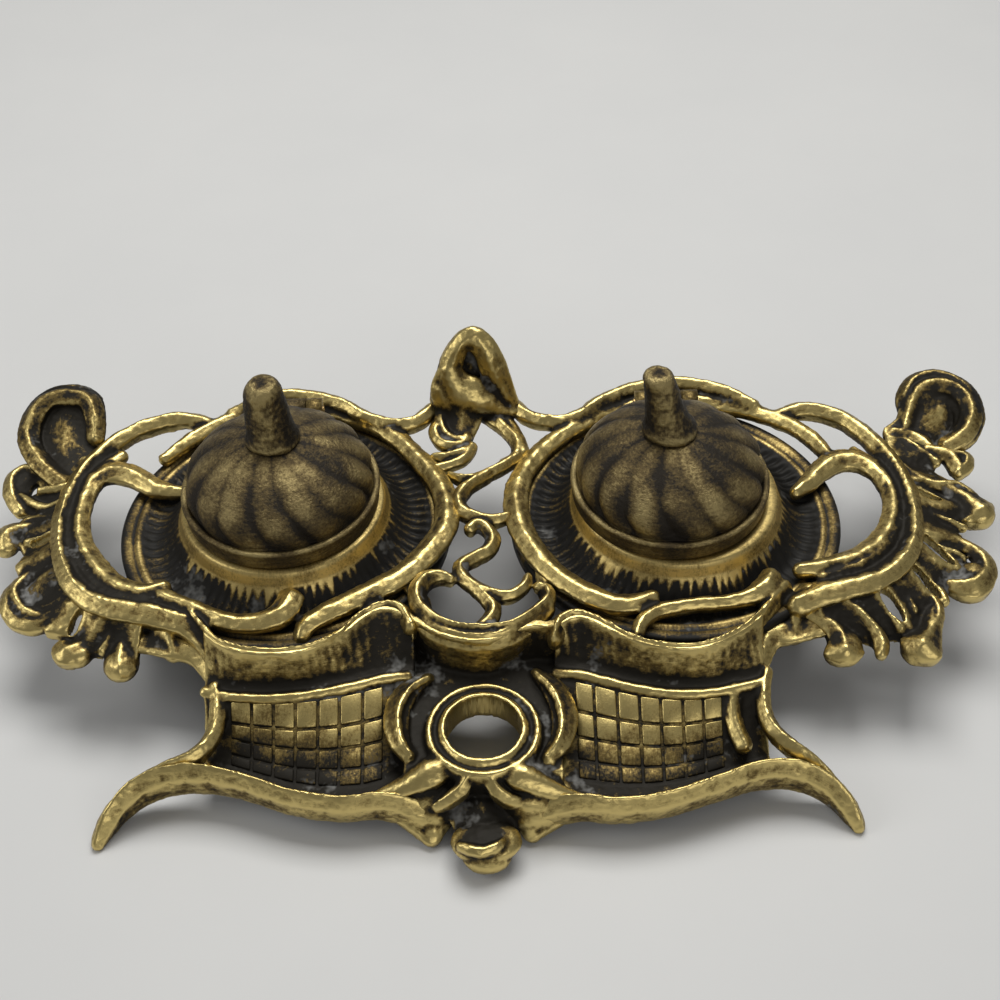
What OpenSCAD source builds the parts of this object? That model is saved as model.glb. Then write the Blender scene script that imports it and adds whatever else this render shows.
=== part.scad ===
// Desk inkstand: an openwork brass casting with a pen tray, two wells with
// hinged lids, and liners for the ink. Millimetres, +Z up, the origin on the
// desk under the middle of the stand, -Y towards the writer.

/* [Stand] */
// Height of the middle of the openwork scrolls above the desk
deck_z = 27; // [26.5:0.1:28]
// Radius of the round hole in the middle of the pen tray
ring_hole_r = 8.7; // [8:0.1:9.2]
// Half the thickness of the engraved squares on the tray
square_h = 0.5; // [0.4:0.05:0.8]

/* [Wells] */
// Distance between the two wells
well_gap = 98; // [97.6:0.1:98.4]
// Outer radius of the fluted dish round each well
dish_r = 41.5; // [41:0.1:41.8]
// Number of flutes on each dish
dish_flutes = 56; // [40:1:64]
// Outer radius of the cup that stands on the desk
cup_r = 20; // [19.6:0.1:21]
// Wall of the cup and of its floor
cup_wall = 2; // [1.6:0.1:2.2]
// Outer radius of the collar that the lid rests on
collar_r = 25.2; // [24.8:0.1:26]

/* [Liners] */
// Wall of the porcelain liner
liner_wall = 1.8; // [1.4:0.1:2.4]
// Space between the liner and the cup
liner_space = 0.4; // [0.3:0.1:0.8]

/* [Lids] */
// Outer radius of the lid's brim
brim_r = 24; // [23.4:0.1:24.4]
// Height of the lobed dome above its brim
dome_h = 15; // [13:0.5:17]
// Number of lobes round the dome
lobes = 14; // [10:1:16]
// How deep the valleys between the lobes are, as a share of the radius
lobe_depth = 0.06; // [0.03:0.01:0.07]
// Height of the finial above the dome
finial_h = 18; // [15:1:22]

/* [Hinges] */
// Radius of the hinge pin
pin_r = 1.25; // [1:0.05:1.5]
// Radius of the hinge knuckles
knuckle_r = 3.2; // [2.8:0.1:3.4]
// Width of the lid's own knuckle
knuckle_w = 7.6; // [6:0.2:9]
// Width of each of the well's two knuckles
lug_w = 4; // [3:0.2:5]

/* [Fasteners] */
// Radius of the screws that hold each well up to the stand
screw_r = 1.2; // [1:0.05:1.3]
// Radius of the finial's threaded tail
tail_r = 1.5; // [1.2:0.05:1.8]

/* [Hidden] */
origin = [0.4, 3, 0];              // moves the drawing so that zero is under the middle of its outline
mid_x = -5;                        // the wells and the ring share this middle line
well_y = 18;
well_x = [mid_x - well_gap / 2, mid_x + well_gap / 2];
lid_shift = [0, -2];               // the right lid sits a little to the left on its worn pin
seat_z = deck_z - 2;               // underside of the scrolls, top of the dish's rim
collar_top = seat_z + 8;
lid_z = collar_top + 0.3;          // the lid closes with a thin dark seam
brim_h = 5;
hinge_y = well_y + collar_r + 4.8;
hinge_z = collar_top + 3.2;
run_fit = 0.05;                    // radial play of the lid on its pin
// Screws of each well, as [angle, distance in from the dish's edge].
screw_places = [[[-30, 3.6], [78, 1.7], [222, 2.5]], [[210, 3.4], [100, 1.7], [-34, 2.9]]];
ring_pos = [mid_x, -42];
tray_z = 18.3;                     // height of the bar along the back of the tray
bore_fn = 64;

// A scroll is a list of stations [x, y, z, half width, half height]; a smooth
// curve is drawn through them, and the section swells and tapers with it.
function unit(v) = v / norm(v);
function place(s) = [s[0], s[1], s[2]];
function bend(a, b, c, d, t) =
    0.5 * (2 * b + (c - a) * t + (2 * a - 5 * b + 4 * c - d) * t * t + (3 * b - a - 3 * c + d) * t * t * t);
function curve(s, n) = let (m = len(s) - 1)
    [for (i = [0 : m - 1]) for (k = [0 : n - 1])
        bend(s[max(i - 1, 0)], s[i], s[i + 1], s[min(i + 2, m)], k / n),
     s[m]];
function heading(c, i) = unit(place(c[min(i + 1, len(c) - 1)]) - place(c[max(i - 1, 0)]));
// Five sides give the usual section of the casting, a ridge above a flat underside.
function section(sides) = sides == 5
    ? [[0, 1], [-0.96, 0.35], [-0.7, -1], [0.7, -1], [0.96, 0.35]]
    : [for (k = [0 : sides - 1]) let (a = 360 * (k + 0.5) / sides) [cos(a), sin(a)]];
function ring_at(p, t, up, w, h, sides) = let (side = unit(cross(t, up)), top = cross(side, t))
    [for (q = section(sides)) p + side * w * q[0] + top * h * q[1]];
// The rings of one scroll, with a smaller ring past each end so that it closes round.
function scroll_rings(s, n, sides, up) = let (c = curve(s, n), m = len(c) - 1)
    concat(
        [ring_at(place(c[0]) - heading(c, 0) * min(c[0][3], c[0][4]) * 0.6, heading(c, 0), up,
                 c[0][3] * 0.5, c[0][4] * 0.5, sides)],
        [for (i = [0 : m]) ring_at(place(c[i]), heading(c, i), up, c[i][3], c[i][4], sides)],
        [ring_at(place(c[m]) + heading(c, m) * min(c[m][3], c[m][4]) * 0.6, heading(c, m), up,
                 c[m][3] * 0.5, c[m][4] * 0.5, sides)]);

// A closed skin over a row of rings that all have the same number of points.
module skin(rings) {
    n = len(rings[0]);
    m = len(rings);
    points = [for (r = rings) for (p = r) p];
    sides = [for (i = [0 : m - 2]) for (k = [0 : n - 1])
        [i * n + k, i * n + (k + 1) % n, (i + 1) * n + (k + 1) % n, (i + 1) * n + k]];
    first = [for (k = [0 : n - 1]) n - 1 - k];
    last = [for (k = [0 : n - 1]) (m - 1) * n + k];
    polyhedron(points = points, faces = concat([first, last], sides), convexity = 8);
}

module scroll(s, n = 1, sides = 5, up = [0, 0, 1]) {
    skin(scroll_rings(s, n, sides, up));
}

// Stations whose heights are counted from the middle plane of the openwork deck.
function on_deck(s) = [for (q = s) [q[0], q[1], deck_z + q[2], q[3], q[4]]];

// Plan lines of the pen tray as [x, y]: top of the apron, bar at the back, lip in front.
apron_line = [[-72, -17], [-66, -23], [-58, -26], [-47, -25.8], [-38, -21], [-30, -13.5],
              [-24, -14.5], [-20, -18], [-14, -22], [-4, -24], [6, -20], [12, -20],
              [18, -17], [26, -22], [34, -26.2], [45, -27.5], [54, -23.5], [62, -17]];
bar_line = [[-72, -29.5], [-66, -31.5], [-56, -32.6], [-46, -32], [-36, -30], [-28, -27.6], [-22, -27],
            [-4, -29], [12, -27], [20, -28.4], [30, -32], [40, -34], [50, -33.6], [62, -30.5]];
lip_line = [[-72, -44], [-62, -48.5], [-48, -54.5], [-37, -56.5], [-28, -55.2], [-22, -51],
            [-4, -50], [8, -52], [14, -56], [25, -58], [36, -57], [48, -53.2], [58, -49], [62, -47]];
// Height of the tray's surface from the bar (0) to the lip (1).
tray_fall = [[0, tray_z], [0.1, tray_z - 1.1], [0.35, tray_z - 5], [0.6, tray_z - 8.4],
             [0.8, tray_z - 9.8], [1, tray_z - 8.8]];
function tray_y(x, u) = lookup(x, bar_line) * (1 - u) + lookup(x, lip_line) * u;
function tray_height(u) = lookup(u, tray_fall);
function tray_section(x) = let (a = lookup(x, apron_line), b = lookup(x, bar_line)) concat(
    [[x, a + 0.8, tray_z - 2], [x, b + 2, tray_z - 3]],
    [for (u = [0.1, 0.6, 1]) [x, tray_y(x, u), max(4.6, tray_height(u) - 3)]],
    [for (u = [1, 0.8, 0.6, 0.35, 0.1, 0]) [x, tray_y(x, u), tray_height(u)]],
    [[x, min(a - 2, b + 3), tray_z + 1], [x, a - 1.2, deck_z + 1], [x, a + 0.8, deck_z + 1]]);

module tray_floor() {
    skin([for (x = [-70, -64, -56, -47, -38, -30, -22]) tray_section(x)]);
    skin([for (x = [12, 20, 28, 36, 45, 53, 61]) tray_section(x)]);
    // plain plate under the round hole, which runs down to the ball foot
    skin([for (x = [-23, -14, -5, 4, 13]) let (a = lookup(x, apron_line))
        [[x, a, 10.5], [x, -52, 10.5], [x, -57.5, 5], [x, -56.5, 9], [x, -52, 14.5], [x, -30, 15.5],
        [x, a - 2, 17],
         [x, a - 1, deck_z + 1], [x, a + 1, deck_z + 1]]]);
}

// Raised squares of the trellis, following the slope of the tray's back.
module trellis(first, last, columns) {
    pitch = (last - first) / columns;
    for (i = [0 : columns - 1]) for (row = [0 : 2]) {
        x = first + pitch * (i + 0.5);
        u = 0.19 + 0.165 * row;
        depth = lookup(x, bar_line) - lookup(x, lip_line);
        slope = atan((tray_height(u - 0.06) - tray_height(u + 0.06)) / (0.12 * depth));
        translate([x, tray_y(x, u), tray_height(u)]) rotate([slope, 0, 0])
            cube([pitch * 0.82, 0.165 * depth * 0.86, 2 * square_h], center = true);
    }
}

// Bar along the back of the tray, and the ribs at its two outer ends.
module tray_rims() {
    for (part = [[-70, -22], [12, 61]])
        scroll([for (i = [0 : 5]) let (x = part[0] + (part[1] - part[0]) * i / 5)
            [x, lookup(x, bar_line), tray_z, 1.3, 1.2]]);
    scroll([[-67.5, -29, 18.5, 1.8, 1.8], [-66.5, -35, 16.5, 2, 2], [-67.2, -40.5, 14.6, 2, 2.4],
            [-71, -45, 13, 2, 3], [-78, -47.6, 11.6, 1.8, 3], [-85, -50.2, 8.8, 1.6, 3]]);
    scroll([[53.4, -32, 18, 2, 1.6], [52.6, -38, 15, 2.2, 2], [54.6, -45, 12, 2.2, 2.4]]);
    scroll([[61.5, -28, 18.5, 1.6, 1.8], [60, -34, 17, 1.8, 2], [60.4, -40, 15, 1.9, 2.6],
            [63.8, -45, 13.4, 1.9, 3], [69.5, -49, 11.4, 1.7, 3], [74.5, -53.4, 7.6, 1.5, 3]]);
}

// The lip of the tray runs out into a pointed horn that stands on the desk.
module lip_left() {
    scroll([[-12, -58.5, 6, 2.6, 4], [-16.5, -57.6, 7, 2.8, 6], [-22.5, -55.6, 8.6, 2.4, 5.8],
        [-29, -56.4, 9.2, 2, 5],
            [-37, -57, 9.2, 2, 4.8], [-48, -55.2, 9.5, 2, 4.8], [-60, -50.8, 10, 2, 4.9],
            [-70, -48.4, 10, 2.2, 5.4], [-78, -48.6, 9.4, 2.4, 5.4], [-84.5, -50.6, 7.6, 2.4, 5],
            [-89.2, -54, 4.8, 2.4, 4.2], [-92, -57.5, 2.2, 2.2, 3], [-93.2, -60, 0.8, 1.6, 1.8]], 1, 8);
}
module lip_right() {
    scroll([[1, -59, 6, 2.6, 4], [6, -58.4, 7, 2.8, 6], [11.5, -57, 8.6, 2.4, 5.8], [17, -58, 9.2, 2, 5],
            [25, -59, 9.2, 2, 4.8], [36, -57.8, 9.4, 2, 4.8], [47.5, -54.2, 9.8, 2, 4.9],
            [58, -50.8, 9.8, 2.2, 5.4], [66, -50.6, 9.2, 2.4, 5.4], [72, -52.4, 7.4, 2.4, 5],
            [76.2, -55.2, 4.8, 2.4, 4.2], [78.8, -58, 2.2, 2.2, 3], [79.8, -60.2, 0.8, 1.6, 1.8]], 1, 8);
}

// Round hole in the tray with its two ridges, flanked by two curved ribs.
module ring_collar() {
    r = ring_hole_r;
    translate([ring_pos[0], ring_pos[1], 0]) rotate_extrude($fn = 24)
        polygon([[r - 0.8, 11], [r - 0.8, 17.4], [r + 0.6, 18.4], [r + 2.2, 16.6],
                 [r + 3.8, 17.9], [r + 5.4, 16.2], [r + 5.6, 11]]);
    scroll([[-18, -24, 18.5, 1.6, 1.8], [-23.5, -32, 17, 1.8, 2.4], [-23.8, -41, 15.5, 1.8, 2.6],
            [-20.5, -48, 14, 1.8, 2.6]]);
    scroll([[7.5, -24.5, 18.5, 1.6, 1.8], [13, -33, 17, 1.8, 2.4], [13.3, -41, 15.5, 1.8, 2.6],
            [10.5, -48, 14, 1.8, 2.6]]);
}

// Two curled scrolls and a bud under the middle of the lip: the front foot.
module front_foot() {
    scroll([[-26, -54.6, 14, 1.6, 1.6], [-20, -52, 14.4, 2.4, 2.4], [-14.5, -49.6, 14.8, 3.4, 2.8],
            [-11, -50.6, 14.2, 2.8, 2.8]]);
    scroll([[-8.8, -50, 14.4, 1.8, 2.4], [-9, -55, 12.4, 1.8, 2.4], [-11.4, -59, 9.8, 1.8, 2.4],
        [-16, -61, 7.4, 1.8, 2.2]]);
    scroll([[17, -57, 14, 1.6, 1.6], [10, -53.4, 14.4, 2.4, 2.4], [3.4, -50.4, 14.8, 3.4, 2.8],
            [0.4, -51.4, 14.2, 2.8, 2.8]]);
    scroll([[-2, -50.4, 14.4, 1.8, 2.4], [-2, -55.4, 12.4, 1.8, 2.4], [0.4, -59.4, 9.8, 1.8, 2.4],
        [5, -61.4, 7.8, 1.8, 2.2]]);
    scroll([[-5.4, -49, 11, 9, 2.6], [-5.4, -56, 8.5, 10, 4], [-5, -61.5, 5.5, 7, 4]]);
    translate([-4.8, -65.4, 4.8]) scale([7.7, 6.4, 5]) sphere(1, $fn = 12);
}

// Frames round the two wells.
module frame_left() {
    scroll(on_deck([[-88, 40, 0, 1.8, 2], [-80, 49.5, 0, 2.4, 2.3], [-70, 56.5, 0, 2.6, 2.3],
        [-58, 59, 0, 2.6, 2.3],
        [-46, 57.5, 0, 2.6, 2.3], [-37.5, 54, 0, 2.6, 2.3], [-29, 48.5, 0, 2.8, 2.3],
        [-21.5, 39, 0, 3, 2.3],
        [-15.3, 28, 0.2, 3.2, 2.5], [-13.3, 18, 0.2, 3.4, 2.5], [-15, 9.5, 0.2, 3.4, 2.5],
        [-22.7, -1.8, 0, 3.4, 2.3],
        [-30, -7.3, 0, 3.2, 2.3], [-39, -12.8, 0, 3, 2.3], [-45.5, -17, -0.5, 2.8, 2.3],
        [-47.5, -20.5, -2, 2.2, 2]]));
    scroll(on_deck([[-72, 57, 0.5, 2, 2.2], [-60, 61.5, 2.5, 2.2, 2.4], [-50.5, 61, 2.5, 2.2, 2.4],
        [-41.5, 57.5, 2.3, 2.2, 2.4], [-36, 53.5, 1.6, 2.2, 2.4], [-28, 50.5, 1, 2.2, 2.6],
        [-22, 51.5, 1, 2.2, 2.6], [-17.5, 56, 1.5, 2.4, 2.6]]));
    scroll(on_deck([[-77.5, 53.5, 0.5, 2, 2], [-85, 55.3, 0.5, 2.6, 2.6], [-92, 53.8, 0.4, 2.7, 2.8],
        [-98.5, 50, 0.2, 2.7, 2.8], [-104.5, 43, 0, 2.6, 2.8], [-109, 33, 0, 2.6, 2.6],
        [-110.5, 20, 0, 2.6, 2.6], [-108.5, 7, 0, 2.6, 2.6], [-103.5, -3.5, 0, 3, 2.6],
        [-96, -9.5, -0.5, 3.6, 2.6], [-85, -12, -1.2, 4, 3], [-75, -15, -2, 3.4, 3.2]]));
    scroll(on_deck([[-80, 27.4, 0, 1.6, 1.8], [-88, 29, 0.2, 2.8, 2.2], [-94, 33, 0.5, 3.4, 2.5],
        [-99.8, 35, 0.6, 3.6, 2.6], [-104.4, 32.5, 0.4, 3, 2.4], [-106.2, 24, 0, 2.8, 2.3],
        [-104.8, 12, 0, 3, 2.3], [-100.2, 3.2, 0, 3.4, 2.3], [-94, -4, 0, 3.4, 2.3],
        [-87, -7, 0, 3, 2.3], [-81, -5.2, 0.2, 2.2, 2]]));
    scroll(on_deck([[-82, -8, 0, 2.6, 2.3], [-73, -12.5, 0, 2.4, 2.3], [-65, -16.5, 0, 2.6, 2.3],
        [-57.5, -17, 0, 2.8, 2.3], [-52, -14.8, 0.6, 3.4, 2.8], [-50, -10, 1, 3.4, 2.6]]));
    scroll(on_deck([[-82, -6, -1.5, 2, 3.4], [-76.5, -10, -2.5, 1.9, 4.6], [-71.5, -17, -3.6, 1.8, 5.8],
        [-65, -23.6, -4.2, 1.8, 6.4], [-55, -26.3, -4.2, 1.8, 6.4], [-45, -25.3, -4.2, 1.8, 6.4],
        [-38.5, -21.8, -4, 1.8, 6.2], [-34, -16.5, -3, 1.8, 5.2], [-28.5, -12.8, -2, 2.2, 4.2],
        [-24, -14, -2, 2.4, 4.2], [-21.5, -18.5, -2.5, 2, 4]]));
}
module frame_right() {
    scroll(on_deck([[86.5, 33, 0, 1.8, 2], [83.3, 41, 0, 2.4, 2.3], [78, 48, 0, 2.6, 2.3],
        [71, 52.6, 0, 2.6, 2.3],
        [61, 56.5, 0, 2.6, 2.3], [49, 59, 0, 2.6, 2.3], [37, 57.5, 0, 2.6, 2.3], [26, 53, 0, 2.6, 2.3],
        [14, 43.5, 0, 2.8, 2.3], [7, 33.5, 0, 3, 2.4], [4, 22, 0.2, 3.4, 2.5], [5.5, 10.5, 0.2, 3.4, 2.5],
        [11, -1, 0, 3.2, 2.3], [17.5, -8.2, 0, 3.2, 2.3], [25, -13, 0, 3, 2.3], [31, -13.7, 0, 2.8, 2.2],
        [36, -11.8, 0.3, 2, 1.9]]));
    scroll(on_deck([[4, 57, 1.5, 2.4, 2.6], [9, 52, 1, 2.2, 2.6], [16, 50.3, 1, 2.2, 2.6],
        [22, 52.3, 1.5, 2.2, 2.4],
        [28, 57, 2.2, 2.2, 2.4], [38, 62, 2.5, 2.2, 2.4], [50, 63.4, 2.5, 2.2, 2.4],
        [61, 59.8, 2.4, 2.2, 2.4],
        [69, 54.5, 1.2, 2, 2.2]]));
    scroll(on_deck([[74.5, 51.5, 0.3, 2, 2], [81, 53.5, 0.5, 2.6, 2.6], [88, 52, 0.4, 2.7, 2.8],
        [94, 47.3, 0.2, 2.7, 2.8], [99, 39, 0, 2.7, 2.8], [102.5, 29, 0, 2.6, 2.6],
        [103.4, 18, 0, 2.6, 2.6],
        [101.8, 7, 0, 2.6, 2.6], [97.2, -2, 0, 3, 2.6], [89, -7.8, -0.5, 3.4, 2.6],
        [78, -10.5, -1.2, 3.8, 3], [69.5, -14, -2, 3.2, 3.2]]));
    scroll(on_deck([[74.5, 22, 0, 1.6, 1.8], [79, 26, 0.2, 2.6, 2.2], [83.5, 30.6, 0.5, 3.4, 2.4],
        [89, 33.6, 0.6, 3.6, 2.6], [95, 31.6, 0.4, 3.2, 2.4], [98.8, 24, 0, 2.8, 2.3],
        [98, 14, 0, 2.8, 2.3],
        [93.8, 5.5, 0, 3, 2.3], [87.5, 0, 0, 3, 2.3], [80, -2.8, 0, 2.8, 2.3], [71.5, -4.4, 0.2, 2, 2]]));
    scroll(on_deck([[30.5, -25, -1, 1.8, 2], [32.5, -19.8, 0, 1.8, 2], [37, -16.2, 0, 2, 2.2],
        [45, -14.6, 0, 2, 2.2],
        [56, -13.4, 0, 2, 2.2], [62.5, -10.5, 1, 3, 2.8], [64.5, -6.5, 1, 2.6, 2.4]]));
    scroll(on_deck([[68, -8.5, -1.5, 2, 3.4], [64, -14, -2.5, 1.9, 4.6], [58, -20.5, -3.8, 1.8, 6],
        [51.4, -25.3, -4.2, 1.8, 6.4], [44, -27.6, -4.2, 1.8, 6.4], [36, -27, -4.2, 1.8, 6.4],
        [29, -24, -4, 1.8, 6.2], [22.5, -19, -3, 1.8, 5.2], [17.5, -16.8, -2, 2.2, 4.2],
        [13.5, -18.6, -2, 2.2, 4.2], [12, -22.5, -3, 2, 4]]));
}

// Branching scrolls between the two frames.
module middle_scrolls() {
    scroll(on_deck([[5, 35, -0.3, 2, 2], [-1, 30.2, 0, 1.8, 1.9], [-7, 26.8, 0, 1.7, 1.9],
        [-10.6, 21, 0, 1.9, 1.9],
        [-9, 15.3, 0, 1.8, 1.9], [-4, 12.9, 0, 1.7, 1.9], [3.5, 14.8, -0.3, 1.8, 1.9]]));
    scroll(on_deck([[-7.4, 9.8, 0, 1.8, 1.8], [-4.8, 10.6, 0, 1.9, 1.9], [-1.8, 6, 0, 2, 2],
        [-4.5, 1.4, 0, 1.9, 1.9], [-9.8, -1.8, 0, 2, 2], [-7.4, -7.2, 0, 2.1, 2],
        [-1, -11, 0, 1.8, 1.9], [5, -9.8, 0, 1.8, 1.9], [6.6, -6.2, 0, 1.6, 1.7]]));
    scroll(on_deck([[-11.5, -6.5, 0, 1.5, 1.6], [-16.5, -6.2, 0, 2, 2], [-19.6, -11, -0.5, 2.6, 2.5],
        [-17.6, -18.5, -2, 2.6, 4], [-9.5, -23, -3.5, 2.2, 5.8], [-1, -23, -3.5, 2.2, 5.8],
        [6, -19, -2.5, 2.2, 4.6], [10.6, -13.8, -0.5, 2.2, 2.6], [10, -10, 0, 1.9, 2],
        [7.5, -9, 0, 1.5, 1.6]]));
    scroll(on_deck([[-4.5, -10, -0.5, 1.8, 1.9], [-2.6, -15, -0.5, 1.8, 1.9], [-4.2, -21, -0.8, 2, 2.2]]));
    // dark webs below, which tie the scrolls to the frames
    scroll(on_deck([[-24, -3, -1, 2, 1.4], [-20, -9, -1.2, 2, 1.4]]));
    scroll(on_deck([[10, -2, -1, 2, 1.4], [10.5, -10, -1.2, 2, 1.4]]));
    scroll(on_deck([[-13.5, 19, -1, 2, 1.6], [-10, 19, -1, 2, 1.6]]));
}

// Crest behind the wells: an open hood on a stem of leaves.
module crest() {
    front = [0, 1, 0.3];
    scroll([[-14.5, 55.5, 28, 3.2, 3], [-14, 57.5, 35, 3, 3.2], [-12.4, 59.8, 41.6, 2.9, 3.2],
        [-9.6, 61.6, 46.4, 2.8, 3.2],
            [-6.4, 62, 48.2, 2.8, 3.2], [-2.6, 60.8, 43.4, 3.4, 3.2], [-0.6, 58.5, 36.5, 3.5, 3],
            [2.6, 56.3, 29, 3, 2.8]], 1, 7, front);
    scroll([[-7, 58.5, 31, 8, 1.6], [-7, 61.6, 39, 6.5, 1.6], [-6.8, 64, 45.4, 4, 1.5]]);
    scroll([[-13.5, 56, 40, 2.4, 2.6], [-10.5, 54, 36, 2.8, 2.8], [-4, 53.5, 33, 2.6, 2.6],
        [3.5, 54.5, 29.5, 2.2, 2.4]]);
    scroll([[-9.5, 55, 33.5, 6, 2.4], [-9.5, 52, 29, 5.6, 2.4], [-10, 47.5, 26.8, 4, 2]]);
    scroll(on_deck([[-15.5, 54, 0, 2, 2.2], [-16.8, 48, 0, 1.9, 2.2], [-14.5, 43.5, 0, 1.8, 2],
        [-10, 43, 0, 1.7, 1.9],
        [-8.5, 46, 0.3, 1.6, 1.8]]));
    scroll(on_deck([[-19.5, 33.5, -0.5, 2, 2], [-14, 35, 0, 1.7, 2], [-9, 37.8, 0, 1.6, 1.9],
        [-7, 42.5, 0, 1.8, 2]]));
    scroll(on_deck([[-10, 52, -1, 4.5, 1.4], [-11, 45, -1.2, 4, 1.3], [-12.5, 37, -1.2, 2.5, 1.3]]));
    scroll(on_deck([[-4, 55.5, 0.5, 2.4, 2.4], [1, 50, 0.2, 2.2, 2.3], [4.6, 44, 0, 2.1, 2.3],
        [4.6, 38.5, 0, 1.9, 2.1],
        [1, 35.5, 0, 1.6, 1.9]]));
}

// Corner ears: each is a bowl with a thick rolled rim and a dark hollow floor.
module ear_left() {
    scroll(on_deck([[-113, 33, -1, 3, 2.2], [-119, 38, 0.5, 3, 2.4], [-123.6, 45, 2, 3, 2.6],
        [-123.8, 51.5, 4.5, 3.2, 2.8], [-120.6, 56.4, 6.6, 3.2, 2.8], [-115, 58, 7.2, 3.2, 2.8],
        [-109.5, 56.6, 6.6, 3, 2.8], [-107, 52, 4.5, 2.8, 2.6], [-106.5, 46.5, 1.8, 2.4, 2.2]]), 1, 6);
    scroll(on_deck([[-112.5, 36, -1.2, 6, 1.3], [-114.5, 44, 0, 8.5, 1.3], [-115, 51, 2.6, 8.5, 1.3],
        [-115, 57, 6, 5, 1.2]]));
}
module ear_right() {
    scroll(on_deck([[107.5, 45.5, 0, 2.6, 2.2], [110, 51.6, 2.6, 2.8, 2.6], [112.8, 55, 4.8, 3, 2.8],
        [117, 55.8, 6, 3, 2.8],
        [121.6, 54, 6, 3, 2.8], [124.2, 50, 5.2, 3, 2.8], [124.4, 45.4, 3.6, 3, 2.6],
        [121.8, 41.2, 1.4, 3, 2.4], [117, 39, -0.5, 3, 2.2]]), 1, 6);
    scroll(on_deck([[103, 42, -1, 4, 1.6], [110, 44.5, -0.6, 6.5, 1.4], [115, 47, 0.6, 8, 1.4],
        [118.4, 50.4, 2.6, 7.5, 1.4]]), 1, 5, [0.2, -0.4, 1]);
}

// Shell wings: a fluted web that hangs from the frame, with curled lobes at its edge
// and slits between some of its ribs. Web stations: [inner x, inner y, outer x, outer y, outer height].
module web(s) {
    skin([for (q = s) [[q[0], q[1], deck_z - 2.2], [q[0], q[1], deck_z + 0.6],
                       [q[2], q[3], q[4] + 1.4], [q[2], q[3], q[4] - 1.6]]]);
}
module slit(from, to, width) {
    scroll([[from[0], from[1], 23, width * 0.4, 6],
        [(from[0] + to[0]) / 2, (from[1] + to[1]) / 2, 23, width, 6],
            [to[0], to[1], 23, width * 0.4, 6]], 1, 4);
}
module wing_left() {
    difference() {
        web([[-85, -13, -86.5, -22, 19], [-90, -12, -93, -19, 19], [-94, -11, -99.5, -20, 19.5],
            [-98, -9, -102.5, -15.5, 20],
             [-101, -6.5, -109.5, -14, 20.5], [-104, -3.5, -112.5, -7.5, 21],
             [-106, 0, -118.5, -3.5, 21.5], [-108, 4, -117, 1, 21],
             [-109, 8, -121, 6.5, 22], [-109.5, 12, -119.5, 11, 21], [-109.5, 17, -123, 16.5, 22.5],
             [-109.5, 22, -121, 21, 23],
             [-109, 26, -119, 25, 22], [-108.5, 30, -122, 29, 23.5], [-108, 34, -119, 33, 22.5],
             [-107.5, 37, -123, 37, 24.5],
             [-106, 42, -117, 43, 25]]);
        slit([-112, 33.5], [-116.5, 33], 0.8);
        slit([-112, 14], [-118, 13], 1);
        slit([-100.5, -9.5], [-103.5, -15], 1.2);
    }
    scroll([[-118.5, 38.6, 25.2, 2.2, 2], [-122.6, 38, 24.4, 3, 2.6], [-124.8, 33.4, 23.4, 3, 2.6],
            [-123.6, 28, 22.8, 2.6, 2.2], [-119.6, 25.6, 22.8, 2, 1.8]]);
    scroll([[-119, 19.5, 23.5, 2.2, 2], [-124.5, 17.5, 22.5, 3.8, 3.2], [-125, 13.5, 21.5, 3, 2.4]]);
    scroll([[-116.5, 4, 22.5, 1.8, 1.8], [-119, -1.5, 22, 2.6, 2.6], [-116.2, -7, 21.2, 3.2, 3],
        [-110.5, -9.4, 21, 2.8, 2.6],
            [-106.5, -7.5, 22.5, 2, 2]]);
    scroll([[-98.5, -16.5, 20.5, 2, 2], [-103, -19.6, 19.8, 3.6, 3.4], [-105.2, -17.4, 20, 2.6, 2.4]]);
    scroll([[-90.5, -16, 20.5, 2.4, 2.2], [-90.4, -21, 19.8, 3.4, 3], [-90.2, -24.2, 18.8, 3.8, 3.4]]);
}
module wing_right() {
    difference() {
        web([[102, 44, 108, 44, 26], [101.5, 39, 116, 38.5, 25], [102, 35, 113, 32, 23],
            [102.5, 31, 116, 27, 24],
             [103, 27, 113, 24, 22], [103, 23, 119, 19, 22.5], [103, 18, 114.5, 13, 21],
             [102.5, 13, 116, 7, 22],
             [101.5, 9, 112.5, 4, 21], [100.5, 5, 114, -2, 21.5], [99, 1.5, 108, -6, 20.5],
             [96.5, -2, 106, -11, 20.5],
             [94, -5, 100, -15, 20], [91, -7, 98, -21, 19.8], [87, -8.5, 92, -19.5, 19],
             [83, -10, 88, -21.5, 19.2],
             [79, -11, 82, -19, 19.5], [74, -12, 77, -22, 20]]);
        slit([105.5, 24], [112, 20.5], 1.6);
        slit([103.5, 8], [111, -0.5], 1.8);
        slit([99.5, -2], [105.5, -10], 1.4);
        slit([90.5, -9.5], [95, -17.5], 1.8);
    }
    scroll([[112, 38.5, 26, 2, 1.8], [117.5, 36.5, 25.2, 2.6, 2.4], [119.4, 32.6, 24, 2.8, 2.6]]);
    scroll([[112, 27, 24.5, 1.8, 1.8], [117.5, 23.5, 23.5, 2.8, 2.4], [121.4, 18, 22, 5.4, 4.6]]);
    scroll([[113, 9, 22.5, 1.8, 1.8], [118, 3.5, 22.2, 2.4, 2.4], [118.2, -1.8, 21.8, 3.2, 3],
        [114, -6, 21.2, 4, 3.8],
            [108.5, -5.2, 21.5, 2, 2]]);
    scroll([[103, -13, 21, 2, 2], [101.2, -19, 20.4, 3, 2.8], [98, -24.2, 20, 5.4, 4.4]]);
    scroll([[86.5, -15, 20.5, 1.6, 1.8], [89.6, -21.6, 19, 2.2, 2]]);
    scroll([[69, -12.5, 24.5, 2, 2], [75.4, -15.8, 22.6, 2.4, 2.2], [79.6, -20, 20.6, 3.2, 2.8],
        [80, -24.6, 19.6, 5, 4]]);
}

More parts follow.
